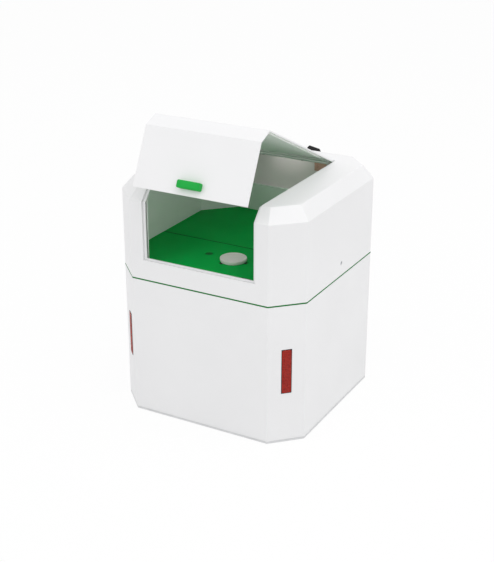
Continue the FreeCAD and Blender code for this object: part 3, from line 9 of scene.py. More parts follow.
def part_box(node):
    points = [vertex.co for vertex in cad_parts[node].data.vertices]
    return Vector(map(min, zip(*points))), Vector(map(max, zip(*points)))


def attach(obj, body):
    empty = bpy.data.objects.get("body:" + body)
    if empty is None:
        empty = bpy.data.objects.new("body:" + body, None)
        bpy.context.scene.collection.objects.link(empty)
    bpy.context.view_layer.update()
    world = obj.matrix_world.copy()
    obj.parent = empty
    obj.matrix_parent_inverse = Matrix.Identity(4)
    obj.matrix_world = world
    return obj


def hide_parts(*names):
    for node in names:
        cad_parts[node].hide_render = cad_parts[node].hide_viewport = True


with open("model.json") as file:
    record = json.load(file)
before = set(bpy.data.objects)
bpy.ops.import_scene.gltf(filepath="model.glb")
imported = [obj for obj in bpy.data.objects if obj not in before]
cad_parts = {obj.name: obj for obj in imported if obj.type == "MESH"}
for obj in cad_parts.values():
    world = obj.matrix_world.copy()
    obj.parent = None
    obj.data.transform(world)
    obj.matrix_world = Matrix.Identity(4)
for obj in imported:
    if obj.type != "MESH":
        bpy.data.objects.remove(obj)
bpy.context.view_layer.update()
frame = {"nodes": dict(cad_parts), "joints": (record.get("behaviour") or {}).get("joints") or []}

mm = 0.001
nodes = frame["nodes"]
print("frame loaded,", len(nodes), "nodes")


# Small helpers for colours and nodes

def srgb(hexColour):
    channels = [int(hexColour[i:i + 2], 16) / 255 for i in (1, 3, 5)]
    linear = [c / 12.92 if c <= 0.04045 else ((c + 0.055) / 1.055) ** 2.4 for c in channels]
    return (*linear, 1.0)


def perMetre(millimetres):
    return 1000.0 / millimetres  # a texture's scale for a detail of that size


def addNode(tree, kind, settings=None, links=None):
    node = tree.nodes.new(kind)
    for key, value in (settings or {}).items():
        if key in node.inputs:
            node.inputs[key].default_value = value
        else:
            setattr(node, key, value)
    for key, source in (links or {}).items():
        tree.links.new(source, node.inputs[key])
    return node


def newMaterial(name, settings):
    material = bpy.data.materials.new(name)
    material.use_nodes = True
    tree = material.node_tree
    tree.nodes.clear()
    shader = addNode(tree, "ShaderNodeBsdfPrincipled", settings)
    output = addNode(tree, "ShaderNodeOutputMaterial")
    tree.links.new(shader.outputs["BSDF"], output.inputs["Surface"])
    place = addNode(tree, "ShaderNodeTexCoord").outputs["Object"]
    return material, tree, shader, place


def blendColours(tree, shader, factor, first, second):
    ramp = addNode(tree, "ShaderNodeValToRGB", links={"Fac": factor})
    ramp.color_ramp.elements[0].color = srgb(first)
    ramp.color_ramp.elements[1].color = srgb(second)
    ramp.color_ramp.elements[0].position = 0.3
    ramp.color_ramp.elements[1].position = 0.7
    tree.links.new(ramp.outputs["Color"], shader.inputs["Base Color"])


def spreadRoughness(tree, shader, factor, low, high):
    spread = addNode(tree, "ShaderNodeMapRange", {"To Min": low, "To Max": high}, {"Value": factor})
    tree.links.new(spread.outputs["Result"], shader.inputs["Roughness"])


def addBump(tree, shader, height, depth):
    bump = addNode(tree, "ShaderNodeBump", {"Distance": depth * mm, "Strength": 1.0}, {"Height": height})
    tree.links.new(bump.outputs["Normal"], shader.inputs["Normal"])


# Materials; sizes in millimetres, colours in sRGB

cloudSize = {"metal": 45, "plastic": 30, "rubber": 6, "glass": 4}  # slow changes over a surface


def powderCoat(name, look):
    # Sheet steel with a baked powder coat: satin, with a faint orange peel and no direction.
    material, tree, shader, place = newMaterial(name, {"IOR": 1.5, "Specular IOR Level": look["gloss"]})
    cloud = addNode(tree, "ShaderNodeTexNoise", {"Scale": perMetre(look["cloudSize"]), "Detail": 2.0},
                    {"Vector": place})
    peel = addNode(tree, "ShaderNodeTexNoise", {"Scale": perMetre(look["peelSize"]), "Detail": 3.0},
                   {"Vector": place})
    blendColours(tree, shader, cloud.outputs["Fac"], look["colour"], look["colourAway"])
    spreadRoughness(tree, shader, cloud.outputs["Fac"], look["roughness"] - 0.04, look["roughness"] + 0.05)
    addBump(tree, shader, peel.outputs["Fac"], look["peelDepth"])
    if "inside" in look:
        paintInside(tree, shader, look["inside"], look["insidePoint"])
    return material


def paintInside(tree, shader, colour, point):
    # faces that look towards a point inside a folded shell take another colour
    spot = addNode(tree, "ShaderNodeTexCoord")
    towards = addNode(tree, "ShaderNodeVectorMath", {"operation": "SUBTRACT"})
    towards.inputs[0].default_value = point
    tree.links.new(spot.outputs["Object"], towards.inputs[1])
    facing = addNode(tree, "ShaderNodeVectorMath", {"operation": "DOT_PRODUCT"})
    tree.links.new(spot.outputs["Normal"], facing.inputs[0])
    tree.links.new(towards.outputs["Vector"], facing.inputs[1])
    inside = addNode(tree, "ShaderNodeMath", {"operation": "GREATER_THAN"})
    tree.links.new(facing.outputs["Value"], inside.inputs[0])
    inside.inputs[1].default_value = 0.0
    mix = addNode(tree, "ShaderNodeMix", {"data_type": "RGBA"})
    outside = shader.inputs["Base Color"].links[0].from_socket
    tree.links.new(inside.outputs[0], mix.inputs[0])
    tree.links.new(outside, mix.inputs[6])
    mix.inputs[7].default_value = srgb(colour)
    tree.links.new(mix.outputs[2], shader.inputs["Base Color"])


def brushedMetal(name, look):
    # Rolled or brushed metal: fine lines along one way stretch the highlights across them.
    # Real lines are under 0.1 mm wide; they are drawn wide enough to show.
    material, tree, shader, place = newMaterial(name, {"Metallic": look.get("metal", 1.0),
                                                       "Specular IOR Level": look.get("gloss", 0.5),
                                                       "Anisotropic": look["pull"]})
    stretch = addNode(tree, "ShaderNodeMapping", {"Scale": look["stretch"]}, {"Vector": place})
    lines = addNode(tree, "ShaderNodeTexNoise", {"Scale": perMetre(look["lineWidth"]), "Detail": 4.0},
                    {"Vector": stretch.outputs["Vector"]})
    cloud = addNode(tree, "ShaderNodeTexNoise", {"Scale": perMetre(cloudSize["metal"]), "Detail": 2.0},
                    {"Vector": place})
    blendColours(tree, shader, cloud.outputs["Fac"], look["colour"], look["colourAway"])
    spreadRoughness(tree, shader, lines.outputs["Fac"], look["roughness"] - 0.07, look["roughness"] + 0.09)
    addBump(tree, shader, lines.outputs["Fac"], look["lineDepth"])
    return material


def mouldedPlastic(name, look):
    # Moulded plastic: the tool's spark-eroded grain leaves a fine, even stipple.
    # The real stipple is near 0.1 mm; it is drawn coarse enough to show.
    material, tree, shader, place = newMaterial(name, {"IOR": 1.53,
                                                       "Specular IOR Level": look.get("gloss", 0.5),
                                                       "Emission Color": srgb(look["colour"]),
                                                       "Emission Strength": look.get("glow", 0.0)})
    grain = addNode(tree, "ShaderNodeTexNoise", {"Scale": perMetre(look["grainSize"]), "Detail": 4.0},
                    {"Vector": place})
    cloud = addNode(tree, "ShaderNodeTexNoise", {"Scale": perMetre(cloudSize["plastic"]), "Detail": 2.0},
                    {"Vector": place})
    blendColours(tree, shader, cloud.outputs["Fac"], look["colour"], look["colourAway"])
    spreadRoughness(tree, shader, grain.outputs["Fac"], look["roughness"] - 0.05, look["roughness"] + 0.07)
    addBump(tree, shader, grain.outputs["Fac"], look["grainDepth"])
    return material


def tintedAcrylic(name, look):
    # Moulded acrylic over lamps: polished face, colour deepening with thickness, faint prisms behind.
    material, tree, shader, place = newMaterial(name, {"IOR": 1.49, "Specular IOR Level": 0.2,
                                                       "Transmission Weight": look["clear"],
                                                       "Subsurface Weight": look["glow"],
                                                       "Subsurface Radius": (0.004, 0.001, 0.0008),
                                                       "Subsurface Scale": 0.6})
    prisms = addNode(tree, "ShaderNodeTexVoronoi", {"Scale": perMetre(look["prismSize"])}, {"Vector": place})
    blendColours(tree, shader, prisms.outputs["Distance"], look["colour"], look["colourAway"])
    spreadRoughness(tree, shader, prisms.outputs["Distance"], 0.1, 0.24)
    addBump(tree, shader, prisms.outputs["Distance"], look["prismDepth"])
    return material


def mouldedRubber(name, look):
    # Black rubber: matt and slightly dusty, with a soft sheen at grazing angles.
    material, tree, shader, place = newMaterial(name, {"IOR": 1.52, "Sheen Weight": 0.04,
                                                       "Sheen Roughness": 0.5,
                                                       "Specular IOR Level": 0.2})
    dust = addNode(tree, "ShaderNodeTexNoise", {"Scale": perMetre(cloudSize["rubber"]), "Detail": 5.0},
                   {"Vector": place})
    blendColours(tree, shader, dust.outputs["Fac"], look["colour"], look["colourAway"])
    spreadRoughness(tree, shader, dust.outputs["Fac"], 0.62, 0.8)
    addBump(tree, shader, dust.outputs["Fac"], 0.05)
    return material


def circuitBoard(name, look):
    # Glass-epoxy board under green solder mask: copper tracks raise it a little and show lighter.
    material, tree, shader, place = newMaterial(name, {"IOR": 1.55, "Coat Weight": 0.3, "Coat Roughness": 0.15})
    tracks = addNode(tree, "ShaderNodeTexBrick", {"Scale": perMetre(look["trackPitch"]), "Mortar Size": 0.04,
                                                  "Color1": srgb(look["colour"]),
                                                  "Color2": srgb(look["colourAway"]),
                                                  "Mortar": srgb(look["track"])}, {"Vector": place})
    tree.links.new(tracks.outputs["Color"], shader.inputs["Base Color"])
    spreadRoughness(tree, shader, tracks.outputs["Fac"], 0.28, 0.4)
    addBump(tree, shader, tracks.outputs["Fac"], 0.03)
    return material


def coatedGlass(name, look):
    # Coated window glass and thin film: polished, with the coating's tint and a faint haze.
    material, tree, shader, place = newMaterial(name, {"IOR": 1.52,
                                                       "Specular IOR Level": look.get("gloss", 0.5),
                                                       "Transmission Weight": look["clear"]})
    haze = addNode(tree, "ShaderNodeTexNoise", {"Scale": perMetre(cloudSize["glass"]), "Detail": 2.0},
                   {"Vector": place})
    blendColours(tree, shader, haze.outputs["Fac"], look["colour"], look["colourAway"])
    spreadRoughness(tree, shader, haze.outputs["Fac"], look["roughness"], look["roughness"] + 0.05)
    return material


looks = {
    "casing": {"colour": "#ECECED", "colourAway": "#E9E9EA", "roughness": 0.42, "gloss": 0.5,
               "cloudSize": 160, "peelSize": 1.6, "peelDepth": 0.012},
    "deck": {"colour": "#00A848", "colourAway": "#00A043", "roughness": 0.5, "gloss": 0.06,
             "cloudSize": 90, "peelSize": 1.3, "peelDepth": 0.014},
    "panel": {"colour": "#D8D9DA", "colourAway": "#D3D4D5", "roughness": 0.5, "gloss": 0.5,
              "cloudSize": 80, "peelSize": 1.1, "peelDepth": 0.03},
    "chamber": {"colour": "#F0F3EF", "colourAway": "#EBEFEA", "roughness": 0.42, "pull": 0.3, "metal": 0.1,
                "stretch": (1.0, 1.0, 0.04), "lineWidth": 0.5, "lineDepth": 0.004},
    # lower rear wall: the chamber's sheet made darker and green-tinted, as painted shade and painted reflection
    # of the green deck below it
    "backLowerGreenReflection": {"colour": "#D8E4DA", "colourAway": "#D3DFD5", "roughness": 0.42, "pull": 0.3, "metal": 0.1,
                  "stretch": (0.04, 1.0, 1.0), "lineWidth": 0.5, "lineDepth": 0.004},
    # upper rear wall: the chamber's sheet made a little darker and warm-tinted, as painted shade and painted
    # reflection of the bronze hinge brackets
    "backUpperWarmReflection": {"colour": "#E6DDDE", "colourAway": "#E1D8D9", "roughness": 0.42, "pull": 0.3, "metal": 0.1,
                  "stretch": (0.04, 1.0, 1.0), "lineWidth": 0.5, "lineDepth": 0.004},
    "liner": {"colour": "#F0F3EF", "colourAway": "#EBEFEA", "roughness": 0.4, "pull": 0.3, "metal": 0.1,
              "stretch": (0.04, 1.0, 1.0), "lineWidth": 0.5, "lineDepth": 0.004},
    "bronze": {"colour": "#BC9686", "colourAway": "#AC8474", "roughness": 0.4, "pull": 0.2, "metal": 0.6,
               "stretch": (0.1, 1.0, 1.0), "lineWidth": 0.6, "lineDepth": 0.004},
    "zinc": {"colour": "#C4C6C8", "colourAway": "#B5B8BB", "roughness": 0.3, "pull": 0.3,
             "stretch": (0.06, 1.0, 1.0), "lineWidth": 0.4, "lineDepth": 0.004},
    "hinge": {"colour": "#D9DCD8", "colourAway": "#D2D6D1", "roughness": 0.4, "pull": 0.2, "metal": 0.25,
              "stretch": (0.06, 1.0, 1.0), "lineWidth": 0.4, "lineDepth": 0.003},
    "aluminium": {"colour": "#CFD1D3", "colourAway": "#C3C6C9", "roughness": 0.36, "pull": 0.2,
                  "stretch": (1.0, 0.1, 1.0), "lineWidth": 0.6, "lineDepth": 0.005},
    "brass": {"colour": "#D0A45A", "colourAway": "#BE924B", "roughness": 0.25, "pull": 0.2,
              "stretch": (1.0, 0.1, 1.0), "lineWidth": 0.3, "lineDepth": 0.003},
    "seam": {"colour": "#007628", "colourAway": "#006E25", "roughness": 0.5, "gloss": 0.05, "grainSize": 0.7,
             "grainDepth": 0.008},
    "seal": {"colour": "#004A1A", "colourAway": "#004217", "roughness": 0.5, "gloss": 0.05, "grainSize": 0.7,
             "grainDepth": 0.008},
    "handle": {"colour": "#0FA63E", "colourAway": "#0D9E3A", "roughness": 0.42, "gloss": 0.2, "grainSize": 0.6,
               "grainDepth": 0.008},
    "black": {"colour": "#060607", "colourAway": "#0B0B0C", "roughness": 0.45, "gloss": 0.16, "grainSize": 0.6,
              "grainDepth": 0.012},
    "cup": {"colour": "#E2E2DC", "colourAway": "#DADAD4", "roughness": 0.4, "grainSize": 0.6,
            "grainDepth": 0.006},
    "opal": {"colour": "#F1F1EC", "colourAway": "#E9E9E2", "roughness": 0.45, "grainSize": 0.8,
             "grainDepth": 0.004},
    "lit": {"colour": "#F6F6F2", "colourAway": "#F0F0EA", "roughness": 0.5, "grainSize": 0.8,
            "grainDepth": 0.004, "glow": 3.0},
    "lens": {"colour": "#A62A1E", "colourAway": "#8A1C14", "clear": 0.0, "glow": 0.1, "prismSize": 2.2,
             "prismDepth": 0.03},
    "rubber": {"colour": "#0C0C0C", "colourAway": "#151515"},
    "board": {"colour": "#0E4A2A", "colourAway": "#115531", "track": "#2C7A4B", "trackPitch": 4},
    "glass": {"colour": "#066B2C", "colourAway": "#085F28", "clear": 0.0, "gloss": 0.12, "roughness": 0.35},
    "film": {"colour": "#D9B36A", "colourAway": "#CFA85E", "clear": 0.5, "roughness": 0.05},
}
enamelWhite = powderCoat("powderCoatedSteelWhite", looks["casing"])
lidBox = [Vector(corner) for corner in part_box("lid_shell")]
lidInside = (0.0, (lidBox[0].y + lidBox[1].y) / 2, lidBox[0].z)
enamelLid = powderCoat("powderCoatedSteelLid", {**looks["casing"], "inside": looks["liner"]["colour"],
                                                "insidePoint": lidInside})
enamelGreen = powderCoat("powderCoatedSteelGreen", looks["deck"])
enamelGrey = powderCoat("powderCoatedSteelGrey", looks["panel"])
satinSheet = brushedMetal("brushedStainlessSheet", looks["chamber"])
satinLowerGreenReflection = brushedMetal("brushedStainlessLowerWallPaintedReflection", looks["backLowerGreenReflection"])
satinUpperWarmReflection = brushedMetal("brushedStainlessUpperWallPaintedReflection", looks["backUpperWarmReflection"])
satinLiner = brushedMetal("brushedStainlessLiner", looks["liner"])
bronzeSteel = brushedMetal("bronzePlatedSteel", looks["bronze"])
zincSteel = brushedMetal("zincPlatedSteel", looks["zinc"])
hingeSteel = brushedMetal("satinHingeSteel", looks["hinge"])
milledAluminium = brushedMetal("milledAluminium", looks["aluminium"])
rolledBrass = brushedMetal("rolledBrassFoil", looks["brass"])
seamPlastic = mouldedPlastic("extrudedPvcGreen", looks["seam"])
sealPlastic = mouldedPlastic("extrudedPvcDarkGreen", looks["seal"])
handlePlastic = mouldedPlastic("mouldedAbsGreen", looks["handle"])
blackPlastic = mouldedPlastic("mouldedAbsBlack", looks["black"])
cupPlastic = mouldedPlastic("mouldedPolyethyleneGrey", looks["cup"])
opalPlastic = mouldedPlastic("mouldedPolycarbonateOpal", looks["opal"])
litPlastic = mouldedPlastic("mouldedPolycarbonateLit", looks["lit"])
redAcrylic = tintedAcrylic("mouldedAcrylicRed", looks["lens"])
blackRubber = mouldedRubber("mouldedRubberBlack", looks["rubber"])
boardEpoxy = circuitBoard("glassEpoxyBoard", looks["board"])
tintedGlass = coatedGlass("coatedOpticalGlass", looks["glass"])
windowFilm = coatedGlass("polyimideFilm", looks["film"])
print("materials ready")

# Every carried-over node: its material and how far its bent or cut edges are broken, in millimetres

dressing = [
    (enamelWhite, 0.6, ["lower_casing", "upper_casing", "opening_frame"]),
    (enamelLid, 0.6, ["lid_shell"]),
    (seamPlastic, 0.3, ["seam_strip"]),
    (handlePlastic, 0.3, ["lid_handle"]),
    (enamelGreen, 0.3, ["deck_front", "deck_rear"]),
    (satinSheet, 0.3, ["chamber_wall_left", "chamber_wall_right"]),
    # the lower rear wall's darker green tint is painted shade and painted green reflection of the deck
    (satinLowerGreenReflection, 0.3, ["chamber_back_lower"]),
    # the upper rear wall's warm tint is painted shade and painted reflection of the bronze brackets
    (satinUpperWarmReflection, 0.3, ["chamber_back_upper"]),
    (satinLiner, 0.5, ["lid_liner"]),
    (bronzeSteel, 0.3, ["hinge_brackets"]),
    (hingeSteel, 0.25, ["hinge_leaf_case", "hinge_leaf_lid", "hinge_pin"]),
    (zincSteel, 0.25, ["foot_screws", "handle_screws",
                       "cover_screws", "panel_screws", "fan_screws", "fan_guard", "board_standoffs",
                       "lid_magnet", "aperture_ring", "deck_frame", "chassis_uprights"]),
    (milledAluminium, 0.4, ["base_plate", "head_block", "collimator_slide", "tube_plate", "xray_tube",
                            "filter_wheel", "detector", "pulse_processor", "mains_supply"]),
    (rolledBrass, 0, ["filter_foils"]),
    (blackRubber, 0.3, ["rubber_feet"]),
    (redAcrylic, 0, ["lamp_lens_left", "lamp_lens_right"]),
    (boardEpoxy, 0.1, ["lamp_boards", "control_board", "sample_camera"]),
    (blackPlastic, 0.4, ["beacon", "power_inlet", "power_switch", "data_port", "fan_frame", "fan_rotor",
                         "board_components", "slide_actuator", "lid_sensor", "filter_motor", "hv_supply"]),
    (enamelGrey, 0.3, ["rear_panel"]),
    (cupPlastic, 0.3, ["sample_cup"]),
    (tintedGlass, 0.2, ["camera_window"]),
    (windowFilm, 0, ["window_film"]),
    (litPlastic, 0.5, ["chamber_lamp"]),
]


def setMaterial(piece, material):
    if not piece.material_slots:
        piece.data.materials.append(material)
    for place in piece.material_slots:
        place.material = material


def breakEdges(piece, width):
    weld = piece.modifiers.new("joined corners", "WELD")
    weld.merge_threshold = 0.01 * mm
    flat = piece.modifiers.new("whole faces", "DECIMATE")
    flat.decimate_type = "DISSOLVE"
    flat.angle_limit = math.radians(0.5)
    bevel = piece.modifiers.new("broken edges", "BEVEL")
    bevel.width = width * mm
    bevel.segments = 2
    bevel.limit_method = "ANGLE"
    bevel.angle_limit = math.radians(32)
    bevel.harden_normals = False
    piece.modifiers.new("even shading", "WEIGHTED_NORMAL")


for material, width, names in dressing:
    for name in names:
        setMaterial(nodes[name], material)
        if width:
            breakEdges(nodes[name], width)
left = sorted(name for name in nodes if not any(name in names for material, width, names in dressing))
if left:
    raise ValueError("nodes with no material: %s" % left)
print("carried-over nodes dressed")


# Helpers for meshes, which are built in millimetres about a place of their own

def placeAt(x, y, z, turn=Matrix()):
    # from a piece's own millimetres to the frame's metres
    return Matrix.Translation((x, y, z)) @ turn @ Matrix.Scale(mm, 4)


def boxOf(node):
    # a node's lowest corner, highest corner and middle
    low, high = (Vector(corner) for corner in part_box(node))
    return low, high, (low + high) / 2


def circle(radius, height, count):
    turns = [2 * math.pi * index / count for index in range(count)]
    return [(radius * math.cos(turn), radius * math.sin(turn), height) for turn in turns]


def roundedRectangle(halfX, halfY, radius, height, steps=5):
    points = []
    for quarter, (signX, signY) in enumerate(((1, 1), (-1, 1), (-1, -1), (1, -1))):
        for step in range(steps + 1):
            turn = math.pi / 2 * (quarter + step / steps)
            points.append((signX * (halfX - radius) + radius * math.cos(turn),
                           signY * (halfY - radius) + radius * math.sin(turn), height))
    return points


def addRings(shape, rings, place=Matrix(), looped=False):
    # rings of equally many points, joined by quads; looped joins the last ring to the first,
    # otherwise both ends are closed
    rows = [[shape.verts.new(place @ Vector(point)) for point in ring] for ring in rings]
    pairs = list(zip(rows, rows[1:] + rows[:1])) if looped else list(zip(rows, rows[1:]))
    for low, high in pairs:
        for index, corner in enumerate(low):
            following = (index + 1) % len(low)
            shape.faces.new((corner, low[following], high[following], high[index]))
    if not looped:
        shape.faces.new(rows[0][::-1])
        shape.faces.new(rows[-1])


def addLathe(shape, profile, place=Matrix(), count=48, looped=False):
    # profile: (radius, height) from the foot up
    addRings(shape, [circle(radius, height, count) for radius, height in profile], place, looped)


def addTube(shape, points, radius, place=Matrix(), count=10, looped=False):
    # a round bar along points that lie in the plane z = 0
    rings = []
    last = len(points) - 1
    for index, point in enumerate(points):
        before = points[index - 1] if looped or index else point
        after = points[(index + 1) % len(points)] if looped or index < last else point
        way = (Vector(after) - Vector(before)).normalized()
        side = Vector((-way.y, way.x, 0))
        ring = []
        for step in range(count):
            turn = 2 * math.pi * step / count
            ring.append(Vector(point) + side * radius * math.cos(turn)
                        + Vector((0, 0, radius * math.sin(turn))))
        rings.append(ring)
    addRings(shape, rings, place, looped)


def addScrewHead(shape, look, place=Matrix()):
    # a domed head with a hexagon socket; its seat is at z = 0 and its shank goes down from there
    count = 36
    radius, height, key = look["radius"], look["height"], look["key"]
    hexagon = []
    for index in range(count):
        turn = 2 * math.pi * index / count
        reach = key / 2 / math.cos((turn + math.pi / 6) % (math.pi / 3) - math.pi / 6)
        hexagon.append((reach * math.cos(turn), reach * math.sin(turn)))
    rings = [circle(look["shank"], -look["length"], count), circle(look["shank"], 0, count),
             circle(radius, 0, count), circle(radius, height * 0.35, count),
             circle(radius * 0.93, height * 0.75, count), circle(radius * 0.78, height, count),
             [(x * 1.12, y * 1.12, height) for x, y in hexagon],
             [(x, y, height - 0.12 * key / 2) for x, y in hexagon],
             [(x, y, height - look["depth"]) for x, y in hexagon]]
    addRings(shape, rings, place)


def finishPiece(name, shape, material, body, replaces=(), crease=35):
    mesh = bpy.data.meshes.new(name)
    bmesh.ops.recalc_face_normals(shape, faces=shape.faces)
    shape.to_mesh(mesh)
    shape.free()
    mesh.materials.append(material)
    mesh.shade_smooth()
    mesh.set_sharp_from_angle(angle=math.radians(crease))
    piece = bpy.data.objects.new(name, mesh)
    bpy.context.scene.collection.objects.link(piece)
    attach(piece, body)
    if replaces:
        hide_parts(*replaces)


# turns that point a piece's own z axis out of a side of the casing
outwards = {"front": Matrix.Rotation(math.pi / 2, 4, "X"), "back": Matrix.Rotation(-math.pi / 2, 4, "X"),
            "left": Matrix.Rotation(-math.pi / 2, 4, "Y"), "right": Matrix.Rotation(math.pi / 2, 4, "Y")}


# Sample cup: a turned cap with a raised rim, on a stepped foot

cupLook = {"rimWidth": 1.6, "rimRound": 0.5, "footHeight": 1.5, "footInset": 0.8, "dish": 0.8,
           "padRadius": 11.0, "padRise": 0.25}


def makeCup():
    low, high, middle = boxOf("sample_cup")
    radius = (high.x - low.x) / 2 / mm
    height = (high.z - low.z) / mm
    foot = radius - cupLook["footInset"]
    inner = radius - cupLook["rimWidth"]
    floor = height - cupLook["dish"]
    soft = cupLook["rimRound"]
    shape = bmesh.new()
    profile = [(foot - 0.3, 0), (foot, 0.3), (foot, cupLook["footHeight"]),
               (radius - 0.2, cupLook["footHeight"]), (radius, cupLook["footHeight"] + 0.2),
               (radius, height - soft), (radius - 0.3 * soft, height - 0.3 * soft),
               (radius - soft, height), (inner + 0.25, height), (inner, height - 0.25),
               (inner - 0.1, floor + 0.15), (inner - 0.3, floor),
               (cupLook["padRadius"] + 0.3, floor), (cupLook["padRadius"], floor + cupLook["padRise"])]
    addLathe(shape, profile, placeAt(middle.x, middle.y, low.z), count=96)
    finishPiece("sampleCup", shape, cupPlastic, "sample", ["sample_cup"], crease=28)


# Locating pads: black inserts in the three notches round the cup; their black is painted shadow in the notches

shadowPadLook = {"start": 21.8, "end": 25.6, "halfWidth": 4.2, "round": 0.8, "sink": 0.15, "thick": 1.3}


def makeShadowPads():
    cup = boxOf("sample_cup")[2]
    deckTop = boxOf("deck_front")[1].z
    shape = bmesh.new()
    halfX = (shadowPadLook["end"] - shadowPadLook["start"]) / 2
    reach = (shadowPadLook["end"] + shadowPadLook["start"]) / 2
    top = -shadowPadLook["sink"]
    for index in range(3):
        turn = Matrix.Rotation(2 * math.pi * index / 3, 4, "Z")
        place = placeAt(cup.x, cup.y, deckTop, turn) @ Matrix.Translation((reach, 0, 0))
        rings = [roundedRectangle(halfX - inset, shadowPadLook["halfWidth"] - inset, shadowPadLook["round"], height)
                 for inset, height in ((0, top - shadowPadLook["thick"]), (0, top - 0.2), (0.2, top))]
        addRings(shape, rings, place)
    # black rubber on the pads paints the shadow in the notches round the cup
    finishPiece("shadowPads", shape, blackRubber, "case")


# Camera window: a green bezel round the glass

bezelLook = {"width": 1.1, "proud": 0.25, "chamfer": 0.4}


def makeCameraBezel():
    low, high, middle = boxOf("camera_window")
    outer = (high.x - low.x) / 2 / mm
    inner = outer - bezelLook["width"]
    proud = bezelLook["proud"]
    shape = bmesh.new()
    profile = [(inner, 0), (inner + bezelLook["chamfer"], proud), (outer - 0.1, proud), (outer, proud - 0.1),
               (outer, 0)]
    addLathe(shape, profile, placeAt(middle.x, middle.y, high.z), count=64, looped=True)
    finishPiece("cameraBezel", shape, enamelGreen, "case")


# Lamp lenses: a red domed strip in a black gasket on each front corner, with a ribbed field in its face

lensLook = {"width": 17.0, "proud": 2.0, "gasket": 0.6, "collar": 1.45, "gasketRound": 0.5, "soft": 0.2,
            "round": 3.0, "clear": 0.05, "dome": 0.9, "edge": 1.6, "frame": 0.8, "sink": 0.35,
            "ribs": 25, "ribHeight": 0.3, "ribEnd": 0.9, "ribMargin": 1.2, "ribShare": 0.3}


def makeLensGasket(name, place, halfWide, halfHigh, hole):
    proud, collar, soft, arc = (lensLook[key] for key in ("proud", "collar", "soft", "gasketRound"))
    shape = bmesh.new()
    rings = [roundedRectangle(halfWide, halfHigh, arc, -proud),
             roundedRectangle(halfWide, halfHigh, arc, collar - soft),
             roundedRectangle(halfWide - soft, halfHigh - soft, arc, collar),
             roundedRectangle(hole[0] + 0.75 * soft, hole[1] + 0.75 * soft, hole[2], collar),
             roundedRectangle(*hole, collar - soft), roundedRectangle(*hole, -proud)]
    addRings(shape, rings, place, looped=True)
    finishPiece(name, shape, blackRubber, "case")


def makeLens(name, node, place, hole):
    proud, edge, clear = lensLook["proud"], lensLook["edge"], lensLook["clear"]
    shape = bmesh.new()
    rings = [roundedRectangle(hole[0] - clear, hole[1] - clear, hole[2], -proud)]
    for share in (0, 0.25, 0.5, 0.75, 1):
        turn = share * math.pi / 2
        inward = clear + edge * (1 - math.cos(turn))
        rings.append(roundedRectangle(hole[0] - inward, hole[1] - inward, max(hole[2] - inward, 0.4),
                                      proud - lensLook["dome"] * (1 - math.sin(turn))))
    fieldX, fieldY = (side - clear - edge - lensLook["frame"] for side in hole[:2])
    floor = proud - lensLook["sink"]
    rings.append(roundedRectangle(fieldX, fieldY, 0.8, proud))
    rings.append(roundedRectangle(fieldX - 0.3, fieldY - 0.3, 0.6, floor))
    addRings(shape, rings, place)
    pitch = 2 * (fieldY - lensLook["ribMargin"]) / lensLook["ribs"]
    foot = floor - 0.02  # a little into the field's floor
    for index in range(lensLook["ribs"]):
        up = (index - (lensLook["ribs"] - 1) / 2) * pitch
        rib = [roundedRectangle(fieldX - lensLook["ribEnd"] - tuck, pitch * lensLook["ribShare"] - tuck, 0.25,
                                height, steps=2)
               for tuck, height in ((0, foot), (0, foot + 0.1), (0.2, foot + lensLook["ribHeight"]))]
        addRings(shape, rib, place @ Matrix.Translation((0, up, 0)))
    finishPiece(name, shape, redAcrylic, "case", [node], crease=40)


def makeLenses():
    halfWide = lensLook["width"] / 2
    for side, name, node in ((-1, "Left", "lamp_lens_left"), (1, "Right", "lamp_lens_right")):
        low, high, middle = boxOf(node)
        halfHigh = (high.z - low.z) / 2 / mm
        place = placeAt(*middle, Matrix.Rotation(math.radians(45 * side), 4, "Z") @ outwards["front"])
        hole = (halfWide - lensLook["gasket"], halfHigh - lensLook["gasket"], lensLook["round"])
        makeLensGasket("lensGasket" + name, place, halfWide, halfHigh, hole)
        makeLens("lampLens" + name, node, place, hole)


# Fan guard: welded round wire with an eye at each corner

guardLook = {"wire": 0.95, "rings": (37.5, 26.5, 15.5), "reach": 46.5, "eyeOuter": 4.0, "eyeInner": 2.15,
             "eyeThick": 1.6, "corner": 50.56}


def makeFanGuard():
    place = placeAt(*boxOf("fan_guard")[2], outwards["back"])
    shape = bmesh.new()
    wire = guardLook["wire"]
    for radius in guardLook["rings"]:
        addTube(shape, circle(radius, 0, 72), wire, place, looped=True)
    for turn in (45, 135):
        spin = Matrix.Rotation(math.radians(turn), 4, "Z")
        addTube(shape, [(-guardLook["reach"], 0, 0), (guardLook["reach"], 0, 0)], wire, place @ spin)
    half = guardLook["eyeThick"] / 2
    inner, outer = guardLook["eyeInner"], guardLook["eyeOuter"]
    for turn in range(4):
        spin = Matrix.Rotation(math.radians(45 + 90 * turn), 4, "Z")
        eye = place @ spin @ Matrix.Translation((guardLook["corner"], 0, 0))
        addLathe(shape, [(inner, -half), (outer - 0.2, -half), (outer, 0), (outer - 0.2, half), (inner, half)],
                 eye, count=32, looped=True)
    finishPiece("fanGuard", shape, zincSteel, "case", ["fan_guard"], crease=60)


# Screws with hexagon sockets

screwLook = {
    "cover": {"radius": 2.95, "height": 1.15, "key": 2.4, "depth": 0.9, "shank": 1.4, "length": 14.0},
    "panel": {"radius": 3.0, "height": 1.2, "key": 2.5, "depth": 0.95, "shank": 1.5, "length": 6.2},
    "fan": {"radius": 3.0, "height": 1.2, "key": 2.5, "depth": 0.95, "shank": 1.9, "length": 28.0},
}


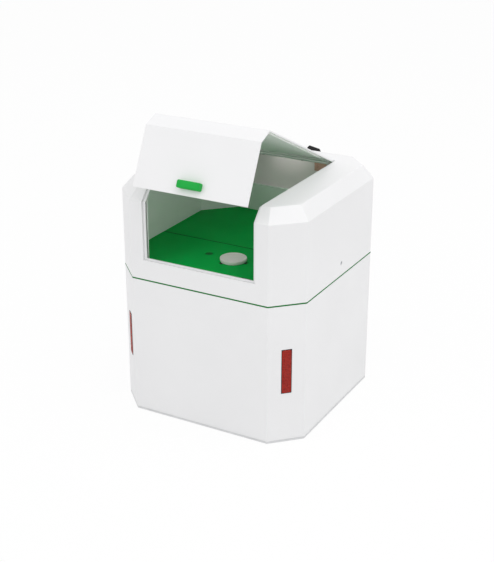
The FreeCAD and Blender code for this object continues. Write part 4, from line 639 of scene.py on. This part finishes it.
def makeScrews():
    low, high, middle = boxOf("cover_screws")
    shape = bmesh.new()
    head = screwLook["cover"]["height"] * mm
    addScrewHead(shape, screwLook["cover"], placeAt(high.x - head, middle.y, middle.z, outwards["right"]))
    addScrewHead(shape, screwLook["cover"], placeAt(low.x + head, middle.y, middle.z, outwards["left"]))
    finishPiece("coverScrews", shape, zincSteel, "case", ["cover_screws"])
    for name, node in (("panel", "panel_screws"), ("fan", "fan_screws")):
        low, high = boxOf(node)[:2]
        look = screwLook[name]
        inset = look["radius"] * mm
        shape = bmesh.new()
        for x in (low.x + inset, high.x - inset):
            for z in (low.z + inset, high.z - inset):
                addScrewHead(shape, look, placeAt(x, high.y - look["height"] * mm, z, outwards["back"]))
        finishPiece(name + "Screws", shape, zincSteel, "case", [node])


# Feet: moulded rubber with a chamfer and a countersink for the screw

footLook = {"radius": 11.0, "chamfer": 0.6, "hole": 3.3, "sink": 6.2, "count": 56}


def makeFeet():
    low, high = boxOf("rubber_feet")[:2]
    seat = (boxOf("foot_screws")[0].z - low.z) / mm  # the screw head's underside
    height = (high.z - low.z) / mm
    radius, chamfer, hole, sink = (footLook[key] for key in ("radius", "chamfer", "hole", "sink"))
    profile = [(hole, seat), (sink, seat - 0.6), (sink + 0.4, 0), (radius - chamfer, 0), (radius, chamfer),
               (radius, height - 0.2), (radius - 0.2, height), (hole, height)]
    shape = bmesh.new()
    for x in (low.x + radius * mm, high.x - radius * mm):
        for y in (low.y + radius * mm, high.y - radius * mm):
            addLathe(shape, profile, placeAt(x, y, low.z), footLook["count"], looped=True)
    finishPiece("rubberFeet", shape, blackRubber, "case", ["rubber_feet"])


# Sockets at the back: the data port's drawn shell, tongue and contacts, and the mains inlet's flat pins

portLook = {"deep": 14.5, "mouth": 0.6, "shellX": 6.0, "shellZ": 4.6, "shellThick": 0.35, "tongueX": 3.0,
            "tongueZ": 1.3, "tongueLong": 8.0, "contacts": 4, "contactX": 1.4, "contactLong": 7.6}
pinLook = {"halfX": 1.05, "halfZ": 2.05, "long": 8.2, "acrossX": 7.0, "upZ": 2.0, "middleZ": 13.0,
           "floor": 3.0}


def makeSockets():
    low, high, middle = boxOf("data_port")
    face = placeAt(middle.x, high.y, middle.z, outwards["back"])
    shape = bmesh.new()
    x, z, thick = portLook["shellX"], portLook["shellZ"], portLook["shellThick"]
    deep, mouth = -portLook["deep"], -portLook["mouth"]
    rings = [roundedRectangle(x, z, 0.8, deep), roundedRectangle(x, z, 0.8, mouth),
             roundedRectangle(x - thick, z - thick, 0.5, mouth),
             roundedRectangle(x - thick, z - thick, 0.5, deep)]
    addRings(shape, rings, face, looped=True)
    for index in range(portLook["contacts"]):
        side = (index % 2) * 2 - 1
        across = (index // 2) * 2 - 1
        spot = face @ Matrix.Translation((across * portLook["contactX"], side * (portLook["tongueZ"] + 0.1), 0))
        contact = [roundedRectangle(0.6, 0.12, 0.05, height)
                   for height in (deep, deep + portLook["contactLong"])]
        addRings(shape, contact, spot)
    finishPiece("dataPortShell", shape, zincSteel, "case")
    shape = bmesh.new()
    tongue = [roundedRectangle(portLook["tongueX"] - inset, portLook["tongueZ"] - inset, 0.3, deep + height)
              for inset, height in ((0, 0), (0, portLook["tongueLong"] - 0.3), (0.3, portLook["tongueLong"]))]
    addRings(shape, tongue, face)
    finishPiece("dataPortTongue", shape, opalPlastic, "case")

    low, high, middle = boxOf("power_inlet")
    shape = bmesh.new()
    bottom = low.y + pinLook["floor"] * mm
    for across, up in ((-1, -1), (1, -1), (0, 1)):
        spot = placeAt(middle.x + across * pinLook["acrossX"] * mm, bottom,
                       low.z + (pinLook["middleZ"] + up * pinLook["upZ"]) * mm, outwards["back"])
        rings = [roundedRectangle(pinLook["halfX"] - inset, pinLook["halfZ"] - inset, 0.3, height)
                 for inset, height in ((0, 0), (0, pinLook["long"] - 0.7), (0.45, pinLook["long"]))]
        addRings(shape, rings, spot)
    finishPiece("inletPins", shape, zincSteel, "case")


# Rivets on the hinge brackets, end caps on the chamber lamp, screws on the lid sensor

rivetLook = {"radius": 2.6, "height": 0.9, "side": 11.0, "spread": 6.0, "drop": 11.0}
capLook = {"length": 4.0, "grow": 0.2}
sensorLook = {"radius": 1.5, "height": 0.6, "key": 1.3, "depth": 0.4, "shank": 0.8, "length": 3.0,
              "inset": 3.0}


def makeSmallFixings():
    low, high = boxOf("hinge_brackets")[:2]
    shape = bmesh.new()
    radius, height = rivetLook["radius"], rivetLook["height"]
    dome = [(radius, 0), (radius, 0.2), (radius * 0.85, height * 0.7), (radius * 0.5, height * 0.95),
            (radius * 0.15, height)]
    for edge, way in ((low.x, 1), (high.x, -1)):
        for side in (-1, 1):
            x = edge + (way * rivetLook["side"] + side * rivetLook["spread"]) * mm
            addLathe(shape, dome, placeAt(x, low.y, high.z - rivetLook["drop"] * mm, outwards["front"]), 24)
    finishPiece("bracketRivets", shape, bronzeSteel, "case")

    low, high, middle = boxOf("chamber_lamp")
    shape = bmesh.new()
    halfY = (high.y - low.y) / 2 / mm + capLook["grow"]
    halfZ = (high.z - low.z) / 2 / mm
    for x, way in ((low.x, "left"), (high.x, "right")):
        place = placeAt(x, middle.y, middle.z - capLook["grow"] * mm, outwards[way])
        rings = [roundedRectangle(halfZ, halfY, 1.2, -capLook["length"]),
                 roundedRectangle(halfZ, halfY, 1.2, capLook["grow"]),
                 roundedRectangle(halfZ - 0.4, halfY - 0.4, 0.8, capLook["grow"] + 0.4)]
        addRings(shape, rings, place)
    finishPiece("lampEndCaps", shape, blackPlastic, "case")

    low, high, middle = boxOf("lid_sensor")
    shape = bmesh.new()
    inset = sensorLook["inset"] * mm
    for x in (low.x + inset, high.x - inset):
        addScrewHead(shape, sensorLook, placeAt(x, high.y, middle.z, outwards["back"]))
    finishPiece("sensorScrews", shape, zincSteel, "case")


# Beacon: a matt cap that leans inwards and falls towards its right end, on a thin gasket

beaconLook = {"slopeDrop": 22.0, "slopeRun": 17.4, "back": 8.7, "down": 11.0, "halfY": 10.0, "height": 14.0,
              "fall": 5.0, "flat": 9.0, "lean": 3.0, "sideLean": 2.4, "round": 1.6, "gasket": 1.2, "lift": 0.35,
              "tuck": 0.35}


def beaconRing(halfX, share, tuck):
    # the cap's outline at a share of its height
    bottom, top = beaconLook["gasket"], beaconLook["height"]
    halfY = beaconLook["halfY"]
    start = beaconLook["flat"] - halfX
    ring = []
    for x, y, z in roundedRectangle(halfX - tuck, halfY - tuck, beaconLook["round"], 0):
        along = x - share * beaconLook["lean"] * x / halfX
        across = y * (1 - share * beaconLook["sideLean"] / halfY)
        drop = max(0.0, (along - start) / (halfX - start)) * beaconLook["fall"] * share
        ring.append((along, across, bottom + share * (top - bottom) - drop))
    return ring


def makeBeacon():
    low, high, middle = boxOf("beacon")
    halfX = (high.x - low.x) / 2 / mm
    caseHigh = boxOf("upper_casing")[1]
    slope = math.atan2(beaconLook["slopeDrop"], beaconLook["slopeRun"])  # of the casing's rear bevel
    place = placeAt(middle.x, caseHigh.y - beaconLook["back"] * mm, caseHigh.z - beaconLook["down"] * mm,
                    Matrix.Rotation(-slope, 4, "X"))
    gasket = bmesh.new()
    addRings(gasket, [roundedRectangle(halfX, beaconLook["halfY"], 1.5, height)
                      for height in (beaconLook["lift"], beaconLook["gasket"])], place)
    finishPiece("beaconGasket", gasket, blackRubber, "case")
    tuck = beaconLook["tuck"]
    shape = bmesh.new()
    levels = ((0, tuck), (0.06, tuck), (0.5, tuck), (0.9, tuck), (0.97, 0.7), (1.0, 1.5))
    addRings(shape, [beaconRing(halfX, share, inward) for share, inward in levels], place)
    finishPiece("beaconCap", shape, blackPlastic, "case", ["beacon"], crease=25)


# Lid handle: a moulded bar with soft edges and a finger scoop along its underside

handleLook = {"width": 40.0, "height": 12.5, "depth": 11.0, "round": 2.4,
              "face": 278.0, "below": 100.35, "open": 25.5,  # its foot from the hinge, and the lid's turn
              "scoopHalf": 14.0, "scoopRadius": 5.0, "scoopRise": 2.0}


def handleRing(inset, out):
    # one outline of the handle, out from the lid's face; its underside follows the scoop
    halfX = handleLook["width"] / 2 - inset
    halfY = handleLook["height"] / 2 - inset
    arc = max(handleLook["round"] - inset, 0.15)
    ring = roundedRectangle(halfX, halfY, arc, out, steps=6)
    radius = handleLook["scoopRadius"]
    reach = radius ** 2 - (out - radius) ** 2
    rise = max(0.0, math.sqrt(max(reach, 0.0)) - radius + handleLook["scoopRise"] - inset)
    edge = handleLook["scoopHalf"]
    under = [(-edge, -halfY, out), (-edge + 0.5, -halfY + rise, out), (edge - 0.5, -halfY + rise, out),
             (edge, -halfY, out)]
    beforeUnder = 3 * 7  # three corners of the ring come before the underside
    return ring[:beforeUnder] + under + ring[beforeUnder:]


def makeHandle():
    hinge = next(joint for joint in frame["joints"] if joint["name"] == "lid_hinge")
    lidPlace = Matrix.Translation(hinge["pos_m"]) @ Matrix.Rotation(math.radians(-handleLook["open"]), 4, "X")
    foot = Matrix.Translation((0, -handleLook["face"] * mm, -handleLook["below"] * mm))
    place = lidPlace @ foot @ placeAt(0, 0, 0, outwards["front"])
    soft, depth = handleLook["round"], handleLook["depth"]
    rings = [handleRing(0, out) for out in (0, 0.5, 1, 1.5, 2.2, 3, 4, 5, 6, 7, 7.8, depth - soft)]
    for step in range(1, 7):
        turn = math.pi / 2 * step / 6
        rings.append(handleRing(soft * (1 - math.cos(turn)), depth - soft + soft * math.sin(turn)))
    shape = bmesh.new()
    addRings(shape, rings, place)
    finishPiece("lidHandle", shape, handlePlastic, "lid", ["lid_handle"], crease=32)


# Corner strips: folded sheet that closes the step between the upper rear wall and the side walls

stripLook = {"near": 1.0, "far": 1.8, "deep": 3.0, "clear": 0.1}


def makeCornerStrips():
    wallTop = boxOf("chamber_wall_left")[1]
    upperLow, upperHigh = boxOf("chamber_back_upper")[:2]
    ledge = boxOf("chamber_back_lower")[1]
    halfX = (stripLook["near"] + stripLook["far"]) / 2
    rearY = upperLow.y - stripLook["clear"] * mm
    frontY = upperLow.y - (stripLook["deep"] - stripLook["clear"]) * mm
    tall = (wallTop.z - ledge.z) / mm
    rings = [roundedRectangle(halfX, (rearY - frontY) / 2 / mm, 0.3, height, steps=2) for height in (0.1, tall)]
    shape = bmesh.new()
    for side, edge in ((-1, upperLow.x), (1, upperHigh.x)):
        x = edge + side * (stripLook["far"] - stripLook["near"]) / 2 * mm
        addRings(shape, rings, placeAt(x, (frontY + rearY) / 2, ledge.z))
    finishPiece("chamberCornerStrips", shape, satinSheet, "case")


# Seam bead: the rounded lip of the strip between the two casings

beadLook = {"corner": 45.0, "height": 2.5, "clear": 0.05, "root": 0.65, "shoulder": 0.25, "face": 0.03,
            "round": 0.4}


def casingOutline(halfX, halfY, inset, height):
    # the casing's eight-sided plan, every side moved in by inset
    x, y = halfX - inset, halfY - inset
    leg = beadLook["corner"] - (2 - math.sqrt(2)) * inset
    return [(-x + leg, -y, height), (x - leg, -y, height), (x, -y + leg, height), (x, y - leg, height),
            (x - leg, y, height), (-x + leg, y, height), (-x, y - leg, height), (-x, -y + leg, height)]


def makeSeamBead():
    low, high, middle = boxOf("lower_casing")
    halfX, halfY = (high.x - low.x) / 2 / mm, (high.y - low.y) / 2 / mm
    half = beadLook["height"] / 2 - beadLook["clear"]
    root, shoulder, face = beadLook["root"], beadLook["shoulder"], beadLook["face"]
    straight = half - beadLook["round"]
    profile = [(root, -half), (shoulder, -half), (face, -straight), (face, straight), (shoulder, half),
               (root, half)]
    shape = bmesh.new()
    addRings(shape, [casingOutline(halfX, halfY, inset, height) for inset, height in profile],
             placeAt(middle.x, middle.y, boxOf("seam_strip")[2].z), looped=True)
    finishPiece("seamBead", shape, seamPlastic, "case")


# Base skirt: the base tray's folded edge in grey, put under the casing as painted shadow for the dark line
# along the casing's foot

shadowSkirtLook = {"inset": 0.4, "thick": 1.2, "above": 1.0, "below": 2.6, "fold": 0.3}


def makeShadowSkirt():
    low, high, middle = boxOf("lower_casing")
    halfX, halfY = (high.x - low.x) / 2 / mm, (high.y - low.y) / 2 / mm
    outer = shadowSkirtLook["inset"]
    inner = outer + shadowSkirtLook["thick"]
    above, below, fold = shadowSkirtLook["above"], -shadowSkirtLook["below"], shadowSkirtLook["fold"]
    profile = [(outer, above), (outer, below + fold), (outer + fold, below), (inner, below), (inner, above)]
    shape = bmesh.new()
    addRings(shape, [casingOutline(halfX, halfY, inset, height) for inset, height in profile],
             placeAt(middle.x, middle.y, low.z), looped=True)
    # the grey skirt paints the shadow line under the casing
    finishPiece("shadowLineSkirt", shape, enamelGrey, "case")


# Deck seal: a flat strip over the seam between the two deck plates

sealLook = {"halfWidth": 1.1, "proud": 0.25, "end": 1.5}


def makeDeckSeal():
    front, rear = boxOf("deck_front"), boxOf("deck_rear")
    seam = (front[1].y + rear[0].y) / 2
    half = (rear[1].x - rear[0].x) / 2 / mm - sealLook["end"]
    shape = bmesh.new()
    rings = [roundedRectangle(half, sealLook["halfWidth"] - inset, 0.3, height)
             for inset, height in ((0, 0.01), (0, sealLook["proud"] * 0.5), (0.3, sealLook["proud"]))]
    addRings(shape, rings, placeAt(0, seam, front[1].z))
    finishPiece("deckSeal", shape, sealPlastic, "case")


makeBeacon()
makeHandle()
makeCornerStrips()
makeSeamBead()
makeShadowSkirt()
makeDeckSeal()
makeCup()
makeShadowPads()
makeCameraBezel()
makeLenses()
makeFanGuard()
makeScrews()
makeFeet()
makeSockets()
makeSmallFixings()
print("detailed pieces ready")


# Camera: the photo's own viewpoint, found from the casing's corners

# metres from a point on the floor under the casing's middle; lens and film in millimetres
cameraSetting = {"place": (0.90122, -1.63605, 0.98864), "aim": (-0.00455, 0.0, 0.19805),
                 "lens": 75.85, "film": 36.0}
lens = bpy.data.cameras.new("camera")
lens.lens = cameraSetting["lens"]
lens.sensor_width = cameraSetting["film"]
lens.clip_start = 0.01
lens.clip_end = 100
camera = bpy.data.objects.new("camera", lens)
bpy.context.scene.collection.objects.link(camera)
ahead = Vector((0, boxOf("lower_casing")[2].y, 0))
camera.location = Vector(cameraSetting["place"]) + ahead
sight = Vector(cameraSetting["aim"]) + ahead - camera.location
camera.rotation_euler = sight.to_track_quat("-Z", "Y").to_euler()
bpy.context.scene.camera = camera
print("camera placed")


# Floor, light and background

studio = {"floorColour": "#F6F6F6", "floorSize": 30.0, "floorWhite": 0.93,
          "airColour": "#FFFFFF", "airStrength": 0.77,
          "lamps": [  # name, place, aim, width, height, watts
              ("keyLamp", (-1.6, -2.2, 2.6), (0, 0, 0.25), 1.8, 1.8, 13),
              ("fillLamp", (2.4, -1.4, 1.8), (0, 0, 0.25), 1.6, 1.6, 7),
              ("topLamp", (0.9, -0.1, 2.6), (0, 0, 0.3), 2.0, 2.0, 18)]}


def seenDirectly(tree):
    # 1 for rays from the camera, from a mirror-like surface or through glass
    rays = addNode(tree, "ShaderNodeLightPath").outputs
    total = rays["Is Camera Ray"]
    for kind in ("Is Glossy Ray", "Is Transmission Ray"):
        larger = addNode(tree, "ShaderNodeMath", {"operation": "MAXIMUM"})
        tree.links.new(total, larger.inputs[0])
        tree.links.new(rays[kind], larger.inputs[1])
        total = larger.outputs[0]
    return total


def makeFloor():
    half = studio["floorSize"] / 2
    mesh = bpy.data.meshes.new("floor")
    corners = [(-half, -half, 0), (half, -half, 0), (half, half, 0), (-half, half, 0)]
    mesh.from_pydata(corners, [], [(0, 1, 2, 3)])
    floor = bpy.data.objects.new("floor", mesh)
    bpy.context.scene.collection.objects.link(floor)
    floor.location.z = -0.0002  # just under the feet
    material, tree, shader, place = newMaterial("matPaperSweep", {"Base Color": srgb(studio["floorColour"]),
                                                                  "Roughness": 0.9, "IOR": 1.3})
    share = addNode(tree, "ShaderNodeMath", {"operation": "MULTIPLY"})
    tree.links.new(seenDirectly(tree), share.inputs[0])
    share.inputs[1].default_value = studio["floorWhite"]
    white = addNode(tree, "ShaderNodeEmission", {"Color": srgb("#FFFFFF"), "Strength": 1.0})
    mix = addNode(tree, "ShaderNodeMixShader", links={"Fac": share.outputs[0]})
    tree.links.new(shader.outputs["BSDF"], mix.inputs[1])
    tree.links.new(white.outputs[0], mix.inputs[2])
    output = next(node for node in tree.nodes if node.type == "OUTPUT_MATERIAL")
    tree.links.new(mix.outputs[0], output.inputs["Surface"])
    floor.data.materials.append(material)


def makeAir():
    world = bpy.data.worlds.new("studio")
    bpy.context.scene.world = world
    world.use_nodes = True
    tree = world.node_tree
    tree.nodes.clear()
    soft = addNode(tree, "ShaderNodeBackground", {"Color": srgb(studio["airColour"]),
                                                  "Strength": studio["airStrength"]})
    white = addNode(tree, "ShaderNodeBackground", {"Color": srgb("#FFFFFF"), "Strength": 1.0})
    mix = addNode(tree, "ShaderNodeMixShader", links={"Fac": seenDirectly(tree)})
    tree.links.new(soft.outputs[0], mix.inputs[1])
    tree.links.new(white.outputs[0], mix.inputs[2])
    addNode(tree, "ShaderNodeOutputWorld", links={"Surface": mix.outputs[0]})


def makeLamps():
    for name, place, aim, width, height, watts in studio["lamps"]:
        light = bpy.data.lights.new(name, "AREA")
        light.shape = "RECTANGLE"
        light.size = width
        light.size_y = height
        light.energy = watts
        lamp = bpy.data.objects.new(name, light)
        bpy.context.scene.collection.objects.link(lamp)
        lamp.location = place
        lamp.rotation_euler = (Vector(aim) - lamp.location).to_track_quat("-Z", "Y").to_euler()


makeFloor()
makeAir()
makeLamps()
bpy.context.scene.view_settings.view_transform = "Standard"
print("studio ready")
